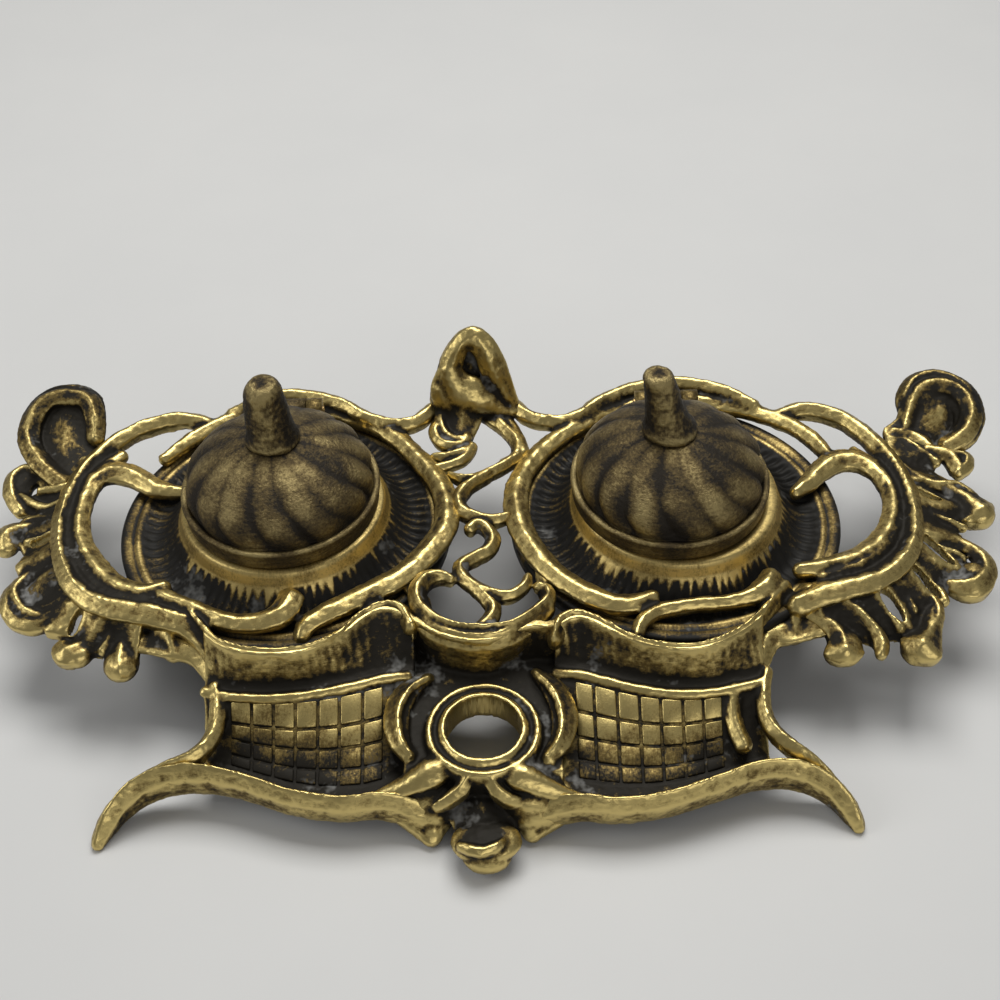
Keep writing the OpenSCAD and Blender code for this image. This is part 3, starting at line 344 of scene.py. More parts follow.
# Frame round the left well: the inner ring, the outer crescent, the hooked scroll over the
# hole at the left, the rail and the tall apron in front. Cast with the rest of the stand.
cast("frame_round_left_well", rolled(
    [(-88, 40, 0, 1.8, 2), (-80, 49.5, 0, 2.4, 2.3), (-70, 56.5, 0, 2.6), (-58, 59), (-46, 57.5),
     (-37.5, 54), (-29, 48.5, 0, 2.8), (-21.5, 39, 0, 3), (-15.3, 28, 0.2, 3.2, 2.5), (-13.3, 18, 0.2, 3.4),
     (-15, 9.5), (-22.7, -1.8, 0, 3.4, 2.3), (-30, -7.3, 0, 3.2), (-39, -12.8, 0, 3),
     (-45.5, -17, -0.5, 2.8), (-47.5, -20.5, -2, 2.2, 2)],
    [(-72, 57, 0.5, 2, 2.2), (-60, 61.5, 2.5, 2.2, 2.4), (-50.5, 61), (-41.5, 57.5, 2.3), (-36, 53.5, 1.6),
     (-28, 50.5, 1, 2.2, 2.6), (-22, 51.5), (-17.5, 56, 1.5, 2.4)],
    [(-77.5, 53.5, 0.5, 2, 2), (-85, 55.3, 0.5, 2.6, 2.6), (-92, 53.8, 0.4, 2.7, 2.8), (-98.5, 50, 0.2),
     (-104.5, 43, 0, 2.6), (-109, 33, 0, 2.6, 2.6), (-110.5, 20), (-108.5, 7), (-103.5, -3.5, 0, 3),
     (-96, -9.5, -0.5, 3.6), (-85, -12, -1.2, 4, 3), (-75, -15, -2, 3.4, 3.2)],
    [(-80, 27.4, 0, 1.6, 1.8), (-88, 29, 0.2, 2.8, 2.2), (-94, 33, 0.5, 3.4, 2.5),
     (-99.8, 35, 0.6, 3.6, 2.6), (-104.4, 32.5, 0.4, 3, 2.4), (-106.2, 24, 0, 2.8, 2.3), (-104.8, 12, 0, 3),
     (-100.2, 3.2, 0, 3.4), (-94, -4), (-87, -7, 0, 3), (-81, -5.2, 0.2, 2.2, 2)],
    [(-82, -8, 0, 2.6, 2.3), (-73, -12.5, 0, 2.4), (-65, -16.5, 0, 2.6), (-57.5, -17, 0, 2.8),
     (-52, -14.8, 0.6, 3.4, 2.8), (-50, -10, 1, 3.4, 2.6)],
    [(-82, -6, -1.5, 2, 3.4), (-76.5, -10, -2.5, 1.9, 4.6), (-71.5, -17, -3.6, 1.8, 5.8),
     (-65, -23.6, -4.2, 1.8, 6.4), (-55, -26.3), (-45, -25.3), (-38.5, -21.8, -4, 1.8, 6.2),
     (-34, -16.5, -3, 1.8, 5.2), (-28.5, -12.8, -2, 2.2, 4.2), (-24, -14, -2, 2.4),
     (-21.5, -18.5, -2.5, 2, 4)],
    [(-99, 42.5, -0.4, 1.6, 1.8), (-105, 35.5, -0.4, 2, 1.9), (-108, 24), (-107, 11, -0.4, 2.2),
     (-102, 0.2, -0.4, 2.4, 2), (-95.5, -6.6, -0.6, 2.6, 2.2), (-86, -9.6, -0.8, 2.4),
     (-78, -11.4, -1.2, 2, 2)],
    [(-79, -13.6, -1.8, 3.2, 3), (-73.6, -17, -2.6, 2.6, 2.8), (-70, -21, -4, 1.9, 2.4),
     (-68, -25.6, -6, 1.2, 1.8)]), voxel=0.5, soften=2, uneven=0.26)

# Frame round the right well, the mirror of the left one as a carver makes it, by eye.
cast("frame_round_right_well", rolled(
    [(86.5, 33, 0, 1.8, 2), (83.3, 41, 0, 2.4, 2.3), (78, 48, 0, 2.6), (71, 52.6), (61, 56.5), (49, 59),
     (37, 57.5), (26, 53), (14, 43.5, 0, 2.8), (7, 33.5, 0, 3, 2.4), (4, 22, 0.2, 3.4, 2.5), (5.5, 10.5),
     (11, -1, 0, 3.2, 2.3), (17.5, -8.2), (25, -13, 0, 3), (31, -13.7, 0, 2.8, 2.2),
     (36, -11.8, 0.3, 2, 1.9)],
    [(4, 57, 1.5, 2.4, 2.6), (9, 52, 1, 2.2), (16, 50.3), (22, 52.3, 1.5, 2.2, 2.4), (28, 57, 2.2),
     (38, 62, 2.5), (50, 63.4), (61, 59.8, 2.4), (69, 54.5, 1.2, 2, 2.2)],
    [(74.5, 51.5, 0.3, 2, 2), (81, 53.5, 0.5, 2.6, 2.6), (88, 52, 0.4, 2.7, 2.8), (94, 47.3, 0.2),
     (99, 39, 0), (102.5, 29, 0, 2.6, 2.6), (103.4, 18), (101.8, 7), (97.2, -2, 0, 3),
     (89, -7.8, -0.5, 3.4), (78, -10.5, -1.2, 3.8, 3), (69.5, -14, -2, 3.2, 3.2)],
    [(74.5, 22, 0, 1.6, 1.8), (79, 26, 0.2, 2.6, 2.2), (83.5, 30.6, 0.5, 3.4, 2.4),
     (89, 33.6, 0.6, 3.6, 2.6), (95, 31.6, 0.4, 3.2, 2.4), (98.8, 24, 0, 2.8, 2.3), (98, 14),
     (93.8, 5.5, 0, 3), (87.5, 0), (80, -2.8, 0, 2.8), (71.5, -4.4, 0.2, 2, 2)],
    [(30.5, -25, -1, 1.8, 2), (32.5, -19.8, 0), (37, -16.2, 0, 2, 2.2), (45, -14.6), (56, -13.4),
     (62.5, -10.5, 1, 3, 2.8), (64.5, -6.5, 1, 2.6, 2.4)],
    [(68, -8.5, -1.5, 2, 3.4), (64, -14, -2.5, 1.9, 4.6), (58, -20.5, -3.8, 1.8, 6),
     (51.4, -25.3, -4.2, 1.8, 6.4), (44, -27.6), (36, -27), (29, -24, -4, 1.8, 6.2),
     (22.5, -19, -3, 1.8, 5.2), (17.5, -16.8, -2, 2.2, 4.2), (13.5, -18.6), (12, -22.5, -3, 2, 4)],
    [(92.5, 38, -0.4, 1.6, 1.8), (98, 30, -0.4, 2, 1.9), (100, 20, -0.4, 2.2), (98.4, 10),
     (93.6, 2.6, -0.4, 2.2, 2), (86, -3.4, -0.6, 2.2, 2.2), (77, -6.4, -0.8, 2, 2)]), voxel=0.5, soften=2,
     uneven=0.26)

# Branching scrolls between the two frames, with small webs below that tie them together.
cast("middle_scrolls", rolled(
    [(-13.1, 32, 26.6, 1, 1.8), (-9.7, 30, 27, 1.4, 2.2), (-6.3, 29.9, 27, 1.6, 2.4), (-2.7, 32, 27, 1.7),
     (1.5, 34.9, 27, 1.8), (5, 38.2, 27, 1.7, 2.2)],
    [(-3, 31.2, 27, 1.6, 2.4), (-7.6, 27.5, 27.2, 1.9, 2.6), (-10.4, 23, 27.4, 2.1), (-9.9, 18.6),
     (-6.4, 15.9, 27.2, 2), (-2.1, 14.9, 27, 1.9, 2.4), (1.9, 16.1, 27, 1.6, 2.2)],
    [(-7.9, 10.8, 27.8, 1.7, 2.2), (-5.9, 12.6, 28), (-3.6, 11.5, 27.6, 1.9, 2.4), (-2, 8.1, 27.2, 2.1),
     (-3.2, 4.5, 27), (-6.4, 2.3, 27, 1.9), (-9.8, -0.6, 27, 2), (-9.4, -4.3), (-6.2, -7.6, 27, 1.9, 2.3),
     (-2.2, -10, 27, 1.8), (2.1, -10.4, 27, 1.7, 2.2), (5.3, -8, 27.4, 1.5, 2), (6.3, -5, 27.6, 1.2, 1.8)],
    [(-12, -5.2, 27, 1.3, 2), (-14.9, -4.2, 27.5, 2, 2.4), (-18.2, -5.4, 27.8, 2.4, 2.8),
     (-20.1, -9, 27.6, 2.4, 3.2), (-19.8, -13.1, 27.2, 2.2, 3.4), (-17.1, -16.9, 26.8, 2, 3.6),
     (-13.1, -19.8, 26.4, 1.8, 3.8), (-7.9, -21.3, 26.2, 1.8, 4), (-2.6, -21.5),
     (2.6, -20.3, 26.4, 1.8, 3.8), (7.6, -16.4, 26.8, 1.8, 3.4), (10.8, -12.5, 27.2, 1.9, 3),
     (10.5, -9.4, 27.4, 1.7, 2.4), (8.4, -8.1, 27.4, 1.2, 2)],
    [(-6.7, -7.6, 27, 1.7, 2.2), (-3.9, -11.2, 27, 1.9, 2.3), (-2, -14.6, 26.8, 2), (-3.2, -17.8, 26.6),
     (-6.1, -20.6, 26.4, 1.6, 2.2)],
    [(-3.2, -17.8, 26.6, 1.4, 2), (-1.9, -20.9, 26.2, 1.2)], deck=False) + rolled(
    [(-24, -3, -1, 2, 1.4), (-20, -9, -1.2)],
    [(10, -2, -1, 2, 1.4), (10.5, -10, -1.2)],
    [(-13.5, 19, -1, 2, 1.6), (-10, 19)],
    [(-19.6, -11, -0.5, 2.6, 2.5), (-17.6, -18.5, -2, 2.6, 4), (-9.5, -23, -3.5, 2.2, 5.8), (-1, -23),
     (6, -19, -2.5, 2.2, 4.6), (10.6, -13.8, -0.5, 2.2, 2.6)]))

# Crest behind the wells: an open hood on a stem of leaves, hollow in front.
def bud(centre, reach):
    bm = bmesh.new()
    bmesh.ops.create_uvsphere(bm, u_segments=32, v_segments=20, radius=1)
    bmesh.ops.scale(bm, vec=reach, verts=bm.verts)
    bmesh.ops.translate(bm, vec=Vector(centre) + SHIFT, verts=bm.verts)
    return wax(bm), [(Vector(centre) + SHIFT, Vector((1, 0, 0)))]

cast("crest", rolled(
    [(-14.5, 55.5, 28, 3.2, 3), (-14, 57.5, 35, 3, 3.2), (-12.4, 59.8, 41.6, 2.9), (-9.6, 61.6, 46.4, 2.8),
     (-6.4, 62, 48.2), (-2.6, 60.8, 43.4, 3.4), (-0.6, 58.5, 36.5, 3.5, 3), (2.6, 56.3, 29, 3, 2.8)],
    up=(0, 1, 0.3), deck=False) + rolled(
    [(-7, 58.5, 31, 8, 1.6), (-7, 61.6, 39, 6.5), (-6.8, 64, 45.4, 4, 1.5)],
    [(-9.5, 55, 33.5, 6, 2.4), (-9.5, 52, 29, 5.6), (-10, 47.5, 26.8, 4, 2)], deck=False) + rolled(
    [(-15.5, 54, 0, 2, 2.2), (-16.8, 48, 0, 1.9), (-14.5, 43.5, 0, 1.8, 2), (-10, 43, 0, 1.7, 1.9),
     (-8.5, 46, 0.3, 1.6, 1.8)],
    [(-19.5, 33.5, -0.5, 2, 2), (-14, 35, 0, 1.7), (-9, 37.8, 0, 1.6, 1.9), (-7, 42.5, 0, 1.8, 2)],
    [(-10, 52, -1, 4.5, 1.4), (-11, 45, -1.2, 4, 1.3), (-12.5, 37, -1.2, 2.5)],
    [(-4, 55.5, 0.5, 2.4, 2.4), (1, 50, 0.2, 2.2, 2.3), (4.6, 44, 0, 2.1), (4.6, 38.5, 0, 1.9, 2.1),
     (1, 35.5, 0, 1.6, 1.9)]) + rolled(
    [(-16.3, 56.1, 31.1, 2.2, 2.2), (-14.5, 57.1, 35.8, 3.2, 2.6), (-12.4, 58.4, 40.9),
     (-10.4, 59.9, 45.7, 2.8), (-8, 61.2, 48.6, 2.4, 2.4), (-5.3, 61.7, 49.5)],
    [(-5.3, 61.7, 49.5, 2.4, 2.4), (-3.3, 60.4, 46.8, 3.2, 2.6), (-1.8, 59, 43.1, 3.8, 2.8),
     (-0, 57.7, 38.4, 3.6, 2.6), (2.3, 56.6, 33.7, 2.6, 2.4), (4.3, 55.6, 30.2, 1.8, 2)],
    up=(0, -1, 0.35), deck=False) + rolled(
    [(-13.7, 56.4, 34.4, 3.6, 2.4), (-10, 56.4, 35.6, 3.6, 2.6), (-6.3, 55.8, 33.9, 3.2),
     (-2.6, 55.2, 31.5, 2.8, 2.4), (1.1, 55, 29.5, 2.2, 2.2), (5.6, 54.8, 28.4, 1.6, 2)],
    up=(0, -1, 0.5), deck=False) + rolled(
    [(-12.7, 58.5, 41.5, 3.2, 2.6), (-11.7, 56.9, 38, 4.4, 3), (-9.4, 55.6, 35.2, 5.6, 3.4),
     (-6, 54.8, 33.3, 5.2), (-2.6, 54.5, 31.8, 4, 3), (0.8, 54.5, 29.9, 2.8, 2.5),
     (4.3, 54.5, 28.7, 1.8, 2), (7, 54.7, 28.1, 1, 1.4)],
    ridge=2.2, up=(0, -1, 0.45), deck=False) + rolled(
    [(-13.7, 57, 36.3, 4.2, 2.8), (-13, 55.5, 33, 4.6, 3), (-11.2, 54.6, 30.2, 4.4, 2.8),
     (-8.6, 54.4, 28.2, 3.6, 2.4)],
    ridge=2.2, up=(0, -1, 0.4), deck=False) + rolled(
    [(-13.3, 55.5, 31.6, 3.6, 2.4), (-9.6, 54.9, 31, 4.2), (-5.9, 54.5, 29.4, 3.2, 2.2),
     (-3.2, 54.4, 27.6, 2, 2)],
    up=(0, -1, 0.5), deck=False) + rolled(
    [(-2.9, 54.8, 29, 1.6, 2), (0.5, 54.2, 27.4, 2, 2.2), (3.4, 49.9, 26.6, 2.1, 2.3), (5.4, 44.3),
     (6.6, 39.6, 26.6, 1.8, 2.2)],
    [(-15.2, 57.1, 31, 1.8, 2), (-15.3, 53.2, 29), (-14.8, 48.9, 27.5, 1.9), (-12.9, 45.8, 27, 2),
     (-9.9, 44.4, 27.5, 1.7, 1.9)],
    [(-17.1, 39.2, 26, 1.6, 2.2), (-13.4, 38.8, 26.6, 1.8, 2.4), (-10.2, 39.5, 27, 1.9),
     (-7.6, 41.3, 27, 1.7, 2)], deck=False), soften=9, lift=0.12)

# Corner ears: each is a bowl with a thick rolled rim and a dark hollow floor.
cast("ear_left", rolled(
    [(-113, 33, -1, 3, 2.2), (-119, 38, 0.5, 3, 2.4), (-123.6, 45, 2, 3, 2.6),
     (-123.8, 51.5, 4.5, 3.2, 2.8), (-120.6, 56.4, 6.6), (-115, 58, 7.2), (-109.5, 56.6, 6.6, 3),
     (-107, 52, 4.5, 2.8, 2.6), (-106.5, 46.5, 1.8, 2.4, 2.2)],
    [(-112.5, 36, -1.2, 6, 1.3), (-114.5, 44, 0, 8.5), (-115, 51, 2.6), (-115, 57, 6, 5, 1.2)]) + rolled(
    [(-126.2, 47.8, 24, 1.6, 2), (-125.9, 54.9, 28, 2.6, 3), (-121.9, 59.9, 31, 3, 3.2), (-114.9, 60.7, 33),
     (-109.8, 59.6, 32, 2.8, 3), (-107.7, 56.1, 30, 2.4, 2.6), (-107.4, 51, 27, 2, 2.2)],
    [(-124.5, 50.8, 27, 1.2, 1.8), (-123.5, 52.7, 29.5, 1.6, 2), (-121, 55.6, 31.5, 1.7),
     (-117.2, 56.9, 32.8, 1.6), (-113.9, 56.6, 32.6, 1.5), (-111.6, 55.1, 31, 1.4),
     (-109.7, 52.8, 29, 1.4, 1.8), (-108.6, 50.2, 27, 1.2, 1.6)],
    [(-119.5, 46.5, 25, 1.2, 1.4), (-117.2, 49.6, 26.4, 1.3, 1.5), (-113.6, 50.4, 26.6),
     (-108.8, 47, 26)], deck=False), lift=-0.3, spared=[(-115, 48, 25, 9, -0.7)])
cast("ear_right", rolled(
    [(107.5, 45.5, 0, 2.6, 2.2), (110, 51.6, 2.6, 2.8, 2.6), (112.8, 55, 4.8, 3, 2.8), (117, 55.8, 6),
     (121.6, 54), (124.2, 50, 5.2), (124.4, 45.4, 3.6, 3, 2.6), (121.8, 41.2, 1.4, 3, 2.4),
     (117, 39, -0.5, 3, 2.2)]) + rolled(
    [(103, 42, -1, 4, 1.6), (110, 44.5, -0.6, 6.5, 1.4), (115, 47, 0.6, 8), (118, 50.4, 2.8, 7.5, 1.6),
     (119.4, 53.6, 5, 6)],
    up=(0.2, -0.4, 1)) + rolled(
    [(108.5, 51.3, 28, 1.8, 2), (108.9, 54.7, 30, 2.4, 2.6), (112.5, 58.5, 32, 2.8, 3),
     (118, 58.7, 33, 3, 3.2), (123.8, 54.3, 32.4, 3.2), (125.4, 47.7, 30, 3.4, 3),
     (123.2, 41.9, 27.4, 3, 2.6), (119.7, 39.3, 26, 2.2, 2)],
    [(108.3, 48.6, 27.6, 1.3, 1.8), (109.1, 52.3, 30, 1.6, 2), (111.9, 55.4, 31.8, 1.7),
     (116, 56.4, 32.6, 1.6), (119.5, 53.7, 32), (121.7, 49.3, 30.4), (121.7, 45.2, 28.4, 1.4, 1.8),
     (119.7, 42.5, 27, 1.2, 1.6)],
    [(104.1, 44.6, 27, 1.8, 1.6), (107.7, 43.9, 26.8, 2.6, 1.7), (111, 41.9, 26.4, 2.4),
     (113.1, 39.1, 26, 1.4, 1.5)], deck=False), lift=-0.28, spared=[(115, 47, 25, 9, -0.7)])

# Shell wings: a fluted web that hangs from the frame, with curled lobes at its edge and
# slits between some of its ribs.
def loft(sections):
    bm = bmesh.new()
    loops = []
    for points in sections:
        verts = [bm.verts.new(Vector(p) + SHIFT) for p in points]
        loops.append([bm.edges.new((a, b)) for a, b in zip(verts, verts[1:] + verts[:1])])
    for a, b in zip(loops, loops[1:]):
        bmesh.ops.bridge_loops(bm, edges=a + b)
    for end in (loops[0], loops[-1]):
        bmesh.ops.contextual_create(bm, geom=end)
    middle = [sum((Vector(p) for p in points), Vector()) / len(points) + SHIFT for points in sections]
    return wax(bm), [(m, (middle[min(i + 1, len(middle) - 1)] - middle[max(i - 1, 0)]).normalized())
                     for i, m in enumerate(middle)]

def web(stations):
    return loft([[(x, y, DECK - 2.2), (x, y, DECK + 0.6), (u, v, z + 1.4), (u, v, z - 1.6)]
                 for x, y, u, v, z in stations])

WEB_Z = 23                            # middle height of the web that the slits go through

def slit(start, end, width):
    a, b = Vector(start), Vector(end)
    bm = bmesh.new()
    bmesh.ops.create_cone(bm, cap_ends=True, segments=40, radius1=1, radius2=1, depth=16)
    bmesh.ops.scale(bm, vec=((b - a).length / 2, width, 1), verts=bm.verts)
    bmesh.ops.rotate(bm, matrix=Matrix.Rotation(math.atan2(b.y - a.y, b.x - a.x), 3, "Z"), verts=bm.verts)
    bmesh.ops.translate(bm, vec=((a + b) / 2).to_3d() + Vector((0, 0, WEB_Z)) + SHIFT, verts=bm.verts)
    return put_in_scene("slit", bm, MM)

cast("shell_wing_left", [web([(-85, -13, -86.5, -22, 19), (-90, -12, -93, -19, 19),
     (-94, -11, -99.5, -20, 19.5), (-98, -9, -102.5, -15.5, 20), (-101, -6.5, -109.5, -14, 20.5),
     (-104, -3.5, -112.5, -7.5, 21), (-106, 0, -118.5, -3.5, 21.5), (-108, 4, -117, 1, 21),
     (-109, 8, -121, 6.5, 22), (-109.5, 12, -119.5, 11, 21), (-109.5, 17, -123, 16.5, 22.5),
     (-109.5, 22, -121, 21, 23), (-109, 26, -119, 25, 22), (-108.5, 30, -122, 29, 23.5),
     (-108, 34, -119, 33, 22.5), (-107.5, 37, -123, 37, 24.5), (-106, 42, -117, 43, 25)])] + rolled(
    [(-118.5, 38.6, 25.2, 2.2, 2), (-122.6, 38, 24.4, 3, 2.6), (-124.8, 33.4, 23.4),
     (-123.6, 28, 22.8, 2.6, 2.2), (-119.6, 25.6, 22.8, 2, 1.8)],
    [(-119, 19.5, 23.5, 2.2, 2), (-124.5, 17.5, 22.5, 3.8, 3.2), (-125, 13.5, 21.5, 3, 2.4)],
    [(-116.5, 4, 22.5, 1.8, 1.8), (-119, -1.5, 22, 2.6, 2.6), (-116.2, -7, 21.2, 3.2, 3),
     (-110.5, -9.4, 21, 2.8, 2.6), (-106.5, -7.5, 22.5, 2, 2)],
    [(-98.5, -16.5, 20.5, 2, 2), (-103, -19.6, 19.8, 3.6, 3.4), (-105.2, -17.4, 20, 2.6, 2.4)],
    [(-90.5, -16, 20.5, 2.4, 2.2), (-90.4, -21, 19.8, 3.4, 3), (-90.2, -24.2, 18.8, 3.8, 3.4)],
    [(-120.8, 38.1, 26, 1.6, 2), (-124.4, 38.6, 25.6, 2.2, 2.4), (-126.8, 35.4, 24.8, 2.6, 2.6),
     (-125.9, 30.2, 24, 2.6, 2.4), (-122.9, 25.2, 23.4, 2, 2)],
    [(-118.7, 30.5, 26, 1.1, 1.5), (-115, 30.3, 26.4, 1.2, 1.6), (-111.2, 31.3, 26.8)],
    [(-123.9, 29.9, 24.6, 1.2, 1.6), (-119.5, 26.6, 24.8, 1.3, 1.7), (-115.4, 24.7, 25.4, 1.2, 1.6),
     (-112.1, 25.8, 26.4, 1.1, 1.5)],
    [(-121.4, 21, 23.6, 1.3, 1.5), (-118.5, 21.9, 24, 1.5, 1.6), (-114.5, 21.1, 25, 1.2, 1.5)],
    [(-125.6, 19.4, 22.8, 1.9, 2), (-123.8, 16.2, 22.4, 2.3, 2.4), (-124.5, 13.1, 22, 1.8, 2)],
    [(-119.3, 14.2, 23.6, 1.1, 1.5), (-115.5, 14, 24.4, 1.2, 1.6), (-111.7, 15.5, 26, 1.1, 1.5)],
    [(-119.2, 9.2, 22.6, 0.9, 1.3), (-114.4, 9, 23.8, 1, 1.4), (-109.7, 10, 25.8, 0.9)],
    [(-119.1, 5.9, 22.2, 0.9, 1.3), (-113.7, 5.3, 23.4, 1, 1.4), (-108.5, 6.1, 25.6, 0.9)],
    [(-118.5, 2.8, 22.2, 1.1, 1.5), (-113.8, -0, 22.6, 1.3, 1.6), (-109.3, -0.1, 24, 1.2),
     (-106, 1.1, 25.8, 1, 1.4)],
    [(-118.8, 1.7, 22, 1.3, 1.8), (-120.4, -1.4, 21.8, 2, 2.2), (-120.3, -5.3, 21.4, 2.2, 2.4),
     (-118, -9, 20.8, 2.4), (-114.3, -10.9, 20.6, 2.3), (-110.3, -10.7, 21, 2.1, 2.2),
     (-106.7, -9.4, 22, 1.8, 2), (-104.2, -6.9, 23.8, 1.4, 1.8)],
    [(-114.6, -6.8, 21.8, 0.9, 1.4), (-110.5, -7.1, 22.4, 1.1, 1.5), (-107, -6, 24, 1, 1.4),
     (-104.7, -3.8, 25.4, 0.9, 1.3)],
    [(-105.2, -13.4, 21.4, 1.2, 1.6), (-102.1, -12.4, 22, 1.5, 1.8), (-99.7, -9.9, 23, 1.4),
     (-98, -7.5, 25, 1.1, 1.5)],
    [(-95.2, -19.4, 20.4, 1.5, 1.8), (-93.6, -16.5, 21.4, 1.6, 1.9), (-93.1, -13.2, 23, 1.4, 1.8),
     (-93.4, -10.9, 25, 1.1, 1.5)], deck=False) + [bud((-101.1, -19.4, 19.6), (3.6, 3.4, 3)),
    bud((-90.6, -22, 18.6), (4.2, 4.4, 3.6))], soften=6,
     cut=[slit((-112, 33.5), (-116.5, 33), 0.8), slit((-112, 14), (-118, 13), 1),
          slit((-100.5, -9.5), (-103.5, -15), 1.2)])
cast("shell_wing_right", [web([(102, 44, 108, 44, 26), (101.5, 39, 116, 38.5, 25), (102, 35, 113, 32, 23),
     (102.5, 31, 116, 27, 24), (103, 27, 113, 24, 22), (103, 23, 119, 19, 22.5), (103, 18, 114.5, 13, 21),
     (102.5, 13, 116, 7, 22), (101.5, 9, 112.5, 4, 21), (100.5, 5, 114, -2, 21.5), (99, 1.5, 108, -6, 20.5),
     (96.5, -2, 106, -11, 20.5), (94, -5, 100, -15, 20), (91, -7, 98, -21, 19.8), (87, -8.5, 92, -19.5, 19),
     (83, -10, 88, -21.5, 19.2), (79, -11, 82, -19, 19.5), (74, -12, 77, -22, 20)])] + rolled(
    [(112, 38.5, 26, 2, 1.8), (117.5, 36.5, 25.2, 2.6, 2.4), (119.4, 32.6, 24, 2.8, 2.6)],
    [(112, 27, 24.5, 1.8, 1.8), (117.5, 23.5, 23.5, 2.8, 2.4), (121.4, 18, 22, 5.4, 4.6)],
    [(113, 9, 22.5, 1.8, 1.8), (118, 3.5, 22.2, 2.4, 2.4), (118.2, -1.8, 21.8, 3.2, 3),
     (114, -6, 21.2, 4, 3.8), (108.5, -5.2, 21.5, 2, 2)],
    [(103, -13, 21, 2, 2), (101.2, -19, 20.4, 3, 2.8), (98, -24.2, 20, 5.4, 4.4)],
    [(86.5, -15, 20.5, 1.6, 1.8), (89.6, -21.6, 19, 2.2, 2)],
    [(69, -12.5, 24.5, 2, 2), (75.4, -15.8, 22.6, 2.4, 2.2), (79.6, -20, 20.6, 3.2, 2.8),
     (80, -24.6, 19.6, 5, 4)],
    [(114, 38, 25.6, 1.6, 2), (118, 36.7, 25.2, 2, 2.4), (121.4, 36.1, 24.6, 2.5, 2.6),
     (121.3, 33.5, 24.2, 2.3, 2.4), (118.7, 31.1, 24, 1.8, 2)],
    [(104.6, 32.1, 26, 1.2, 1.5), (108, 28, 25.2, 1.5, 1.8), (112.6, 26.2, 24.6, 1.8, 2),
     (117.1, 26.3, 24, 1.9, 2.2), (120, 23.9, 23.4, 2), (121.7, 21, 23, 1.6, 2)],
    [(107, 41.8, 26.6, 1, 1.4), (110.4, 37.7, 26, 1.1, 1.5), (114.3, 34, 25, 1, 1.4)],
    [(105.2, 19.8, 25, 0.9, 1.4), (108.4, 16.1, 24, 1.1, 1.6), (113.2, 14.2, 23.2, 1.2),
     (116.5, 12.6, 22.6, 1.1, 1.5)],
    [(103.4, 12.4, 25, 1, 1.4), (107.8, 8.4, 23.6, 1.2, 1.6), (113.3, 8, 22.8, 1.3),
     (116.6, 6.4, 22.2, 1.2, 1.5)],
    [(102.5, 9.3, 25, 0.9, 1.3), (106.7, 5.7, 23.6, 1, 1.5), (111.6, 4.4, 22.6, 1.1),
     (114.2, 2.6, 22, 1, 1.4)],
    [(101.5, 6.8, 24.8, 0.9, 1.3), (106.2, 3, 23.2, 1.1, 1.5), (110.3, 0.6, 22),
     (111.9, -1.4, 21.6, 0.9, 1.4)],
    [(97.5, -3.5, 24, 1.1, 1.4), (102.1, -5, 22.6, 1.5, 1.7), (105.6, -7.4, 21.6, 1.7, 1.9),
     (106.7, -10.5, 21, 1.4, 1.8)],
    [(94.3, -7.3, 24, 1, 1.4), (97.1, -10.2, 22.8, 1.3, 1.7), (98.4, -13.8, 21.8, 1.4, 1.8)],
    [(103.3, -9.2, 21.8, 1.2, 1.6), (104.3, -13.5, 21.2, 1.7, 2), (102.4, -18.1, 20.8, 2, 2.2)],
    [(80.7, -12.3, 25, 1.3, 1.6), (84.5, -15.1, 23.4, 1.6, 2), (88, -19.6, 21.6, 1.8, 2.2),
     (89.1, -23.1, 20.6, 2), (88.5, -25.6, 20, 1.5, 1.8)],
    [(88.5, -10.6, 25, 1, 1.3), (91.8, -14.7, 23, 1.1, 1.5), (94.3, -19, 21.4, 1.3, 1.7)], deck=False) + [
    bud((121.4, 18.2, 22.2), (4.3, 4.6, 3.6)), bud((115.6, -3.1, 20.8), (4.4, 5, 3.8)),
    bud((98.6, -23.1, 18.8), (5, 4.2, 3.8)), bud((80.7, -22.5, 19.4), (4.2, 5, 3.6))], soften=6,
     cut=[slit((105.5, 24), (112, 20.5), 1.6), slit((103.5, 8), (111, -0.5), 1.8),
          slit((99.5, -2), (105.5, -10), 1.4), slit((90.5, -9.5), (95, -17.5), 1.8)])

# Leafy corners that carry the wings down to the tray.
cast("leaf_corners", rolled(
    [(-88, -16, 21, 4, 2), (-80, -17, 21, 5, 2.2), (-72, -20, 20, 4, 2.6), (-68, -27, 18, 2, 2)],
    [(-84, -9, 25, 3, 2.4), (-80, -15, 23), (-78, -21, 20, 2, 2)],
    [(77, -16, 21, 4, 2), (69, -17, 21, 5, 2.2), (63, -19, 20, 4, 2.6), (60.5, -26, 18, 2, 2)],
    [(74, -9, 25, 3, 2.4), (70, -14, 23), (69, -20, 20, 2, 2)], deck=False), voxel=0.5)

# Pen tray: two sloping troughs between the apron and the lip, each with a bar along its
# back and ribs at its ends. The floor is part of the casting, blackened in the hollow.
APRON = [(-72, -17), (-66, -23), (-58, -26), (-47, -25.8), (-38, -21), (-30, -13.5), (-24, -14.5),
         (-20, -18), (-14, -22), (-4, -24), (6, -20), (12, -20), (18, -17), (26, -22), (34, -26.2),
         (45, -27.5), (54, -23.5), (62, -17)]
BAR = [(-72, -29.5), (-66, -31.5), (-56, -32.6), (-46, -32), (-36, -30), (-28, -27.6), (-22, -27),
       (-4, -29), (12, -27), (20, -28.4), (30, -32), (40, -34), (50, -33.6), (62, -30.5)]
LIP = [(-72, -44), (-62, -48.5), (-48, -54.5), (-37, -56.5), (-28, -55.2), (-22, -51), (-4, -50), (8, -52),
       (14, -56), (25, -58), (36, -57), (48, -53.2), (58, -49), (62, -47)]
BAR_TOP = 18.3
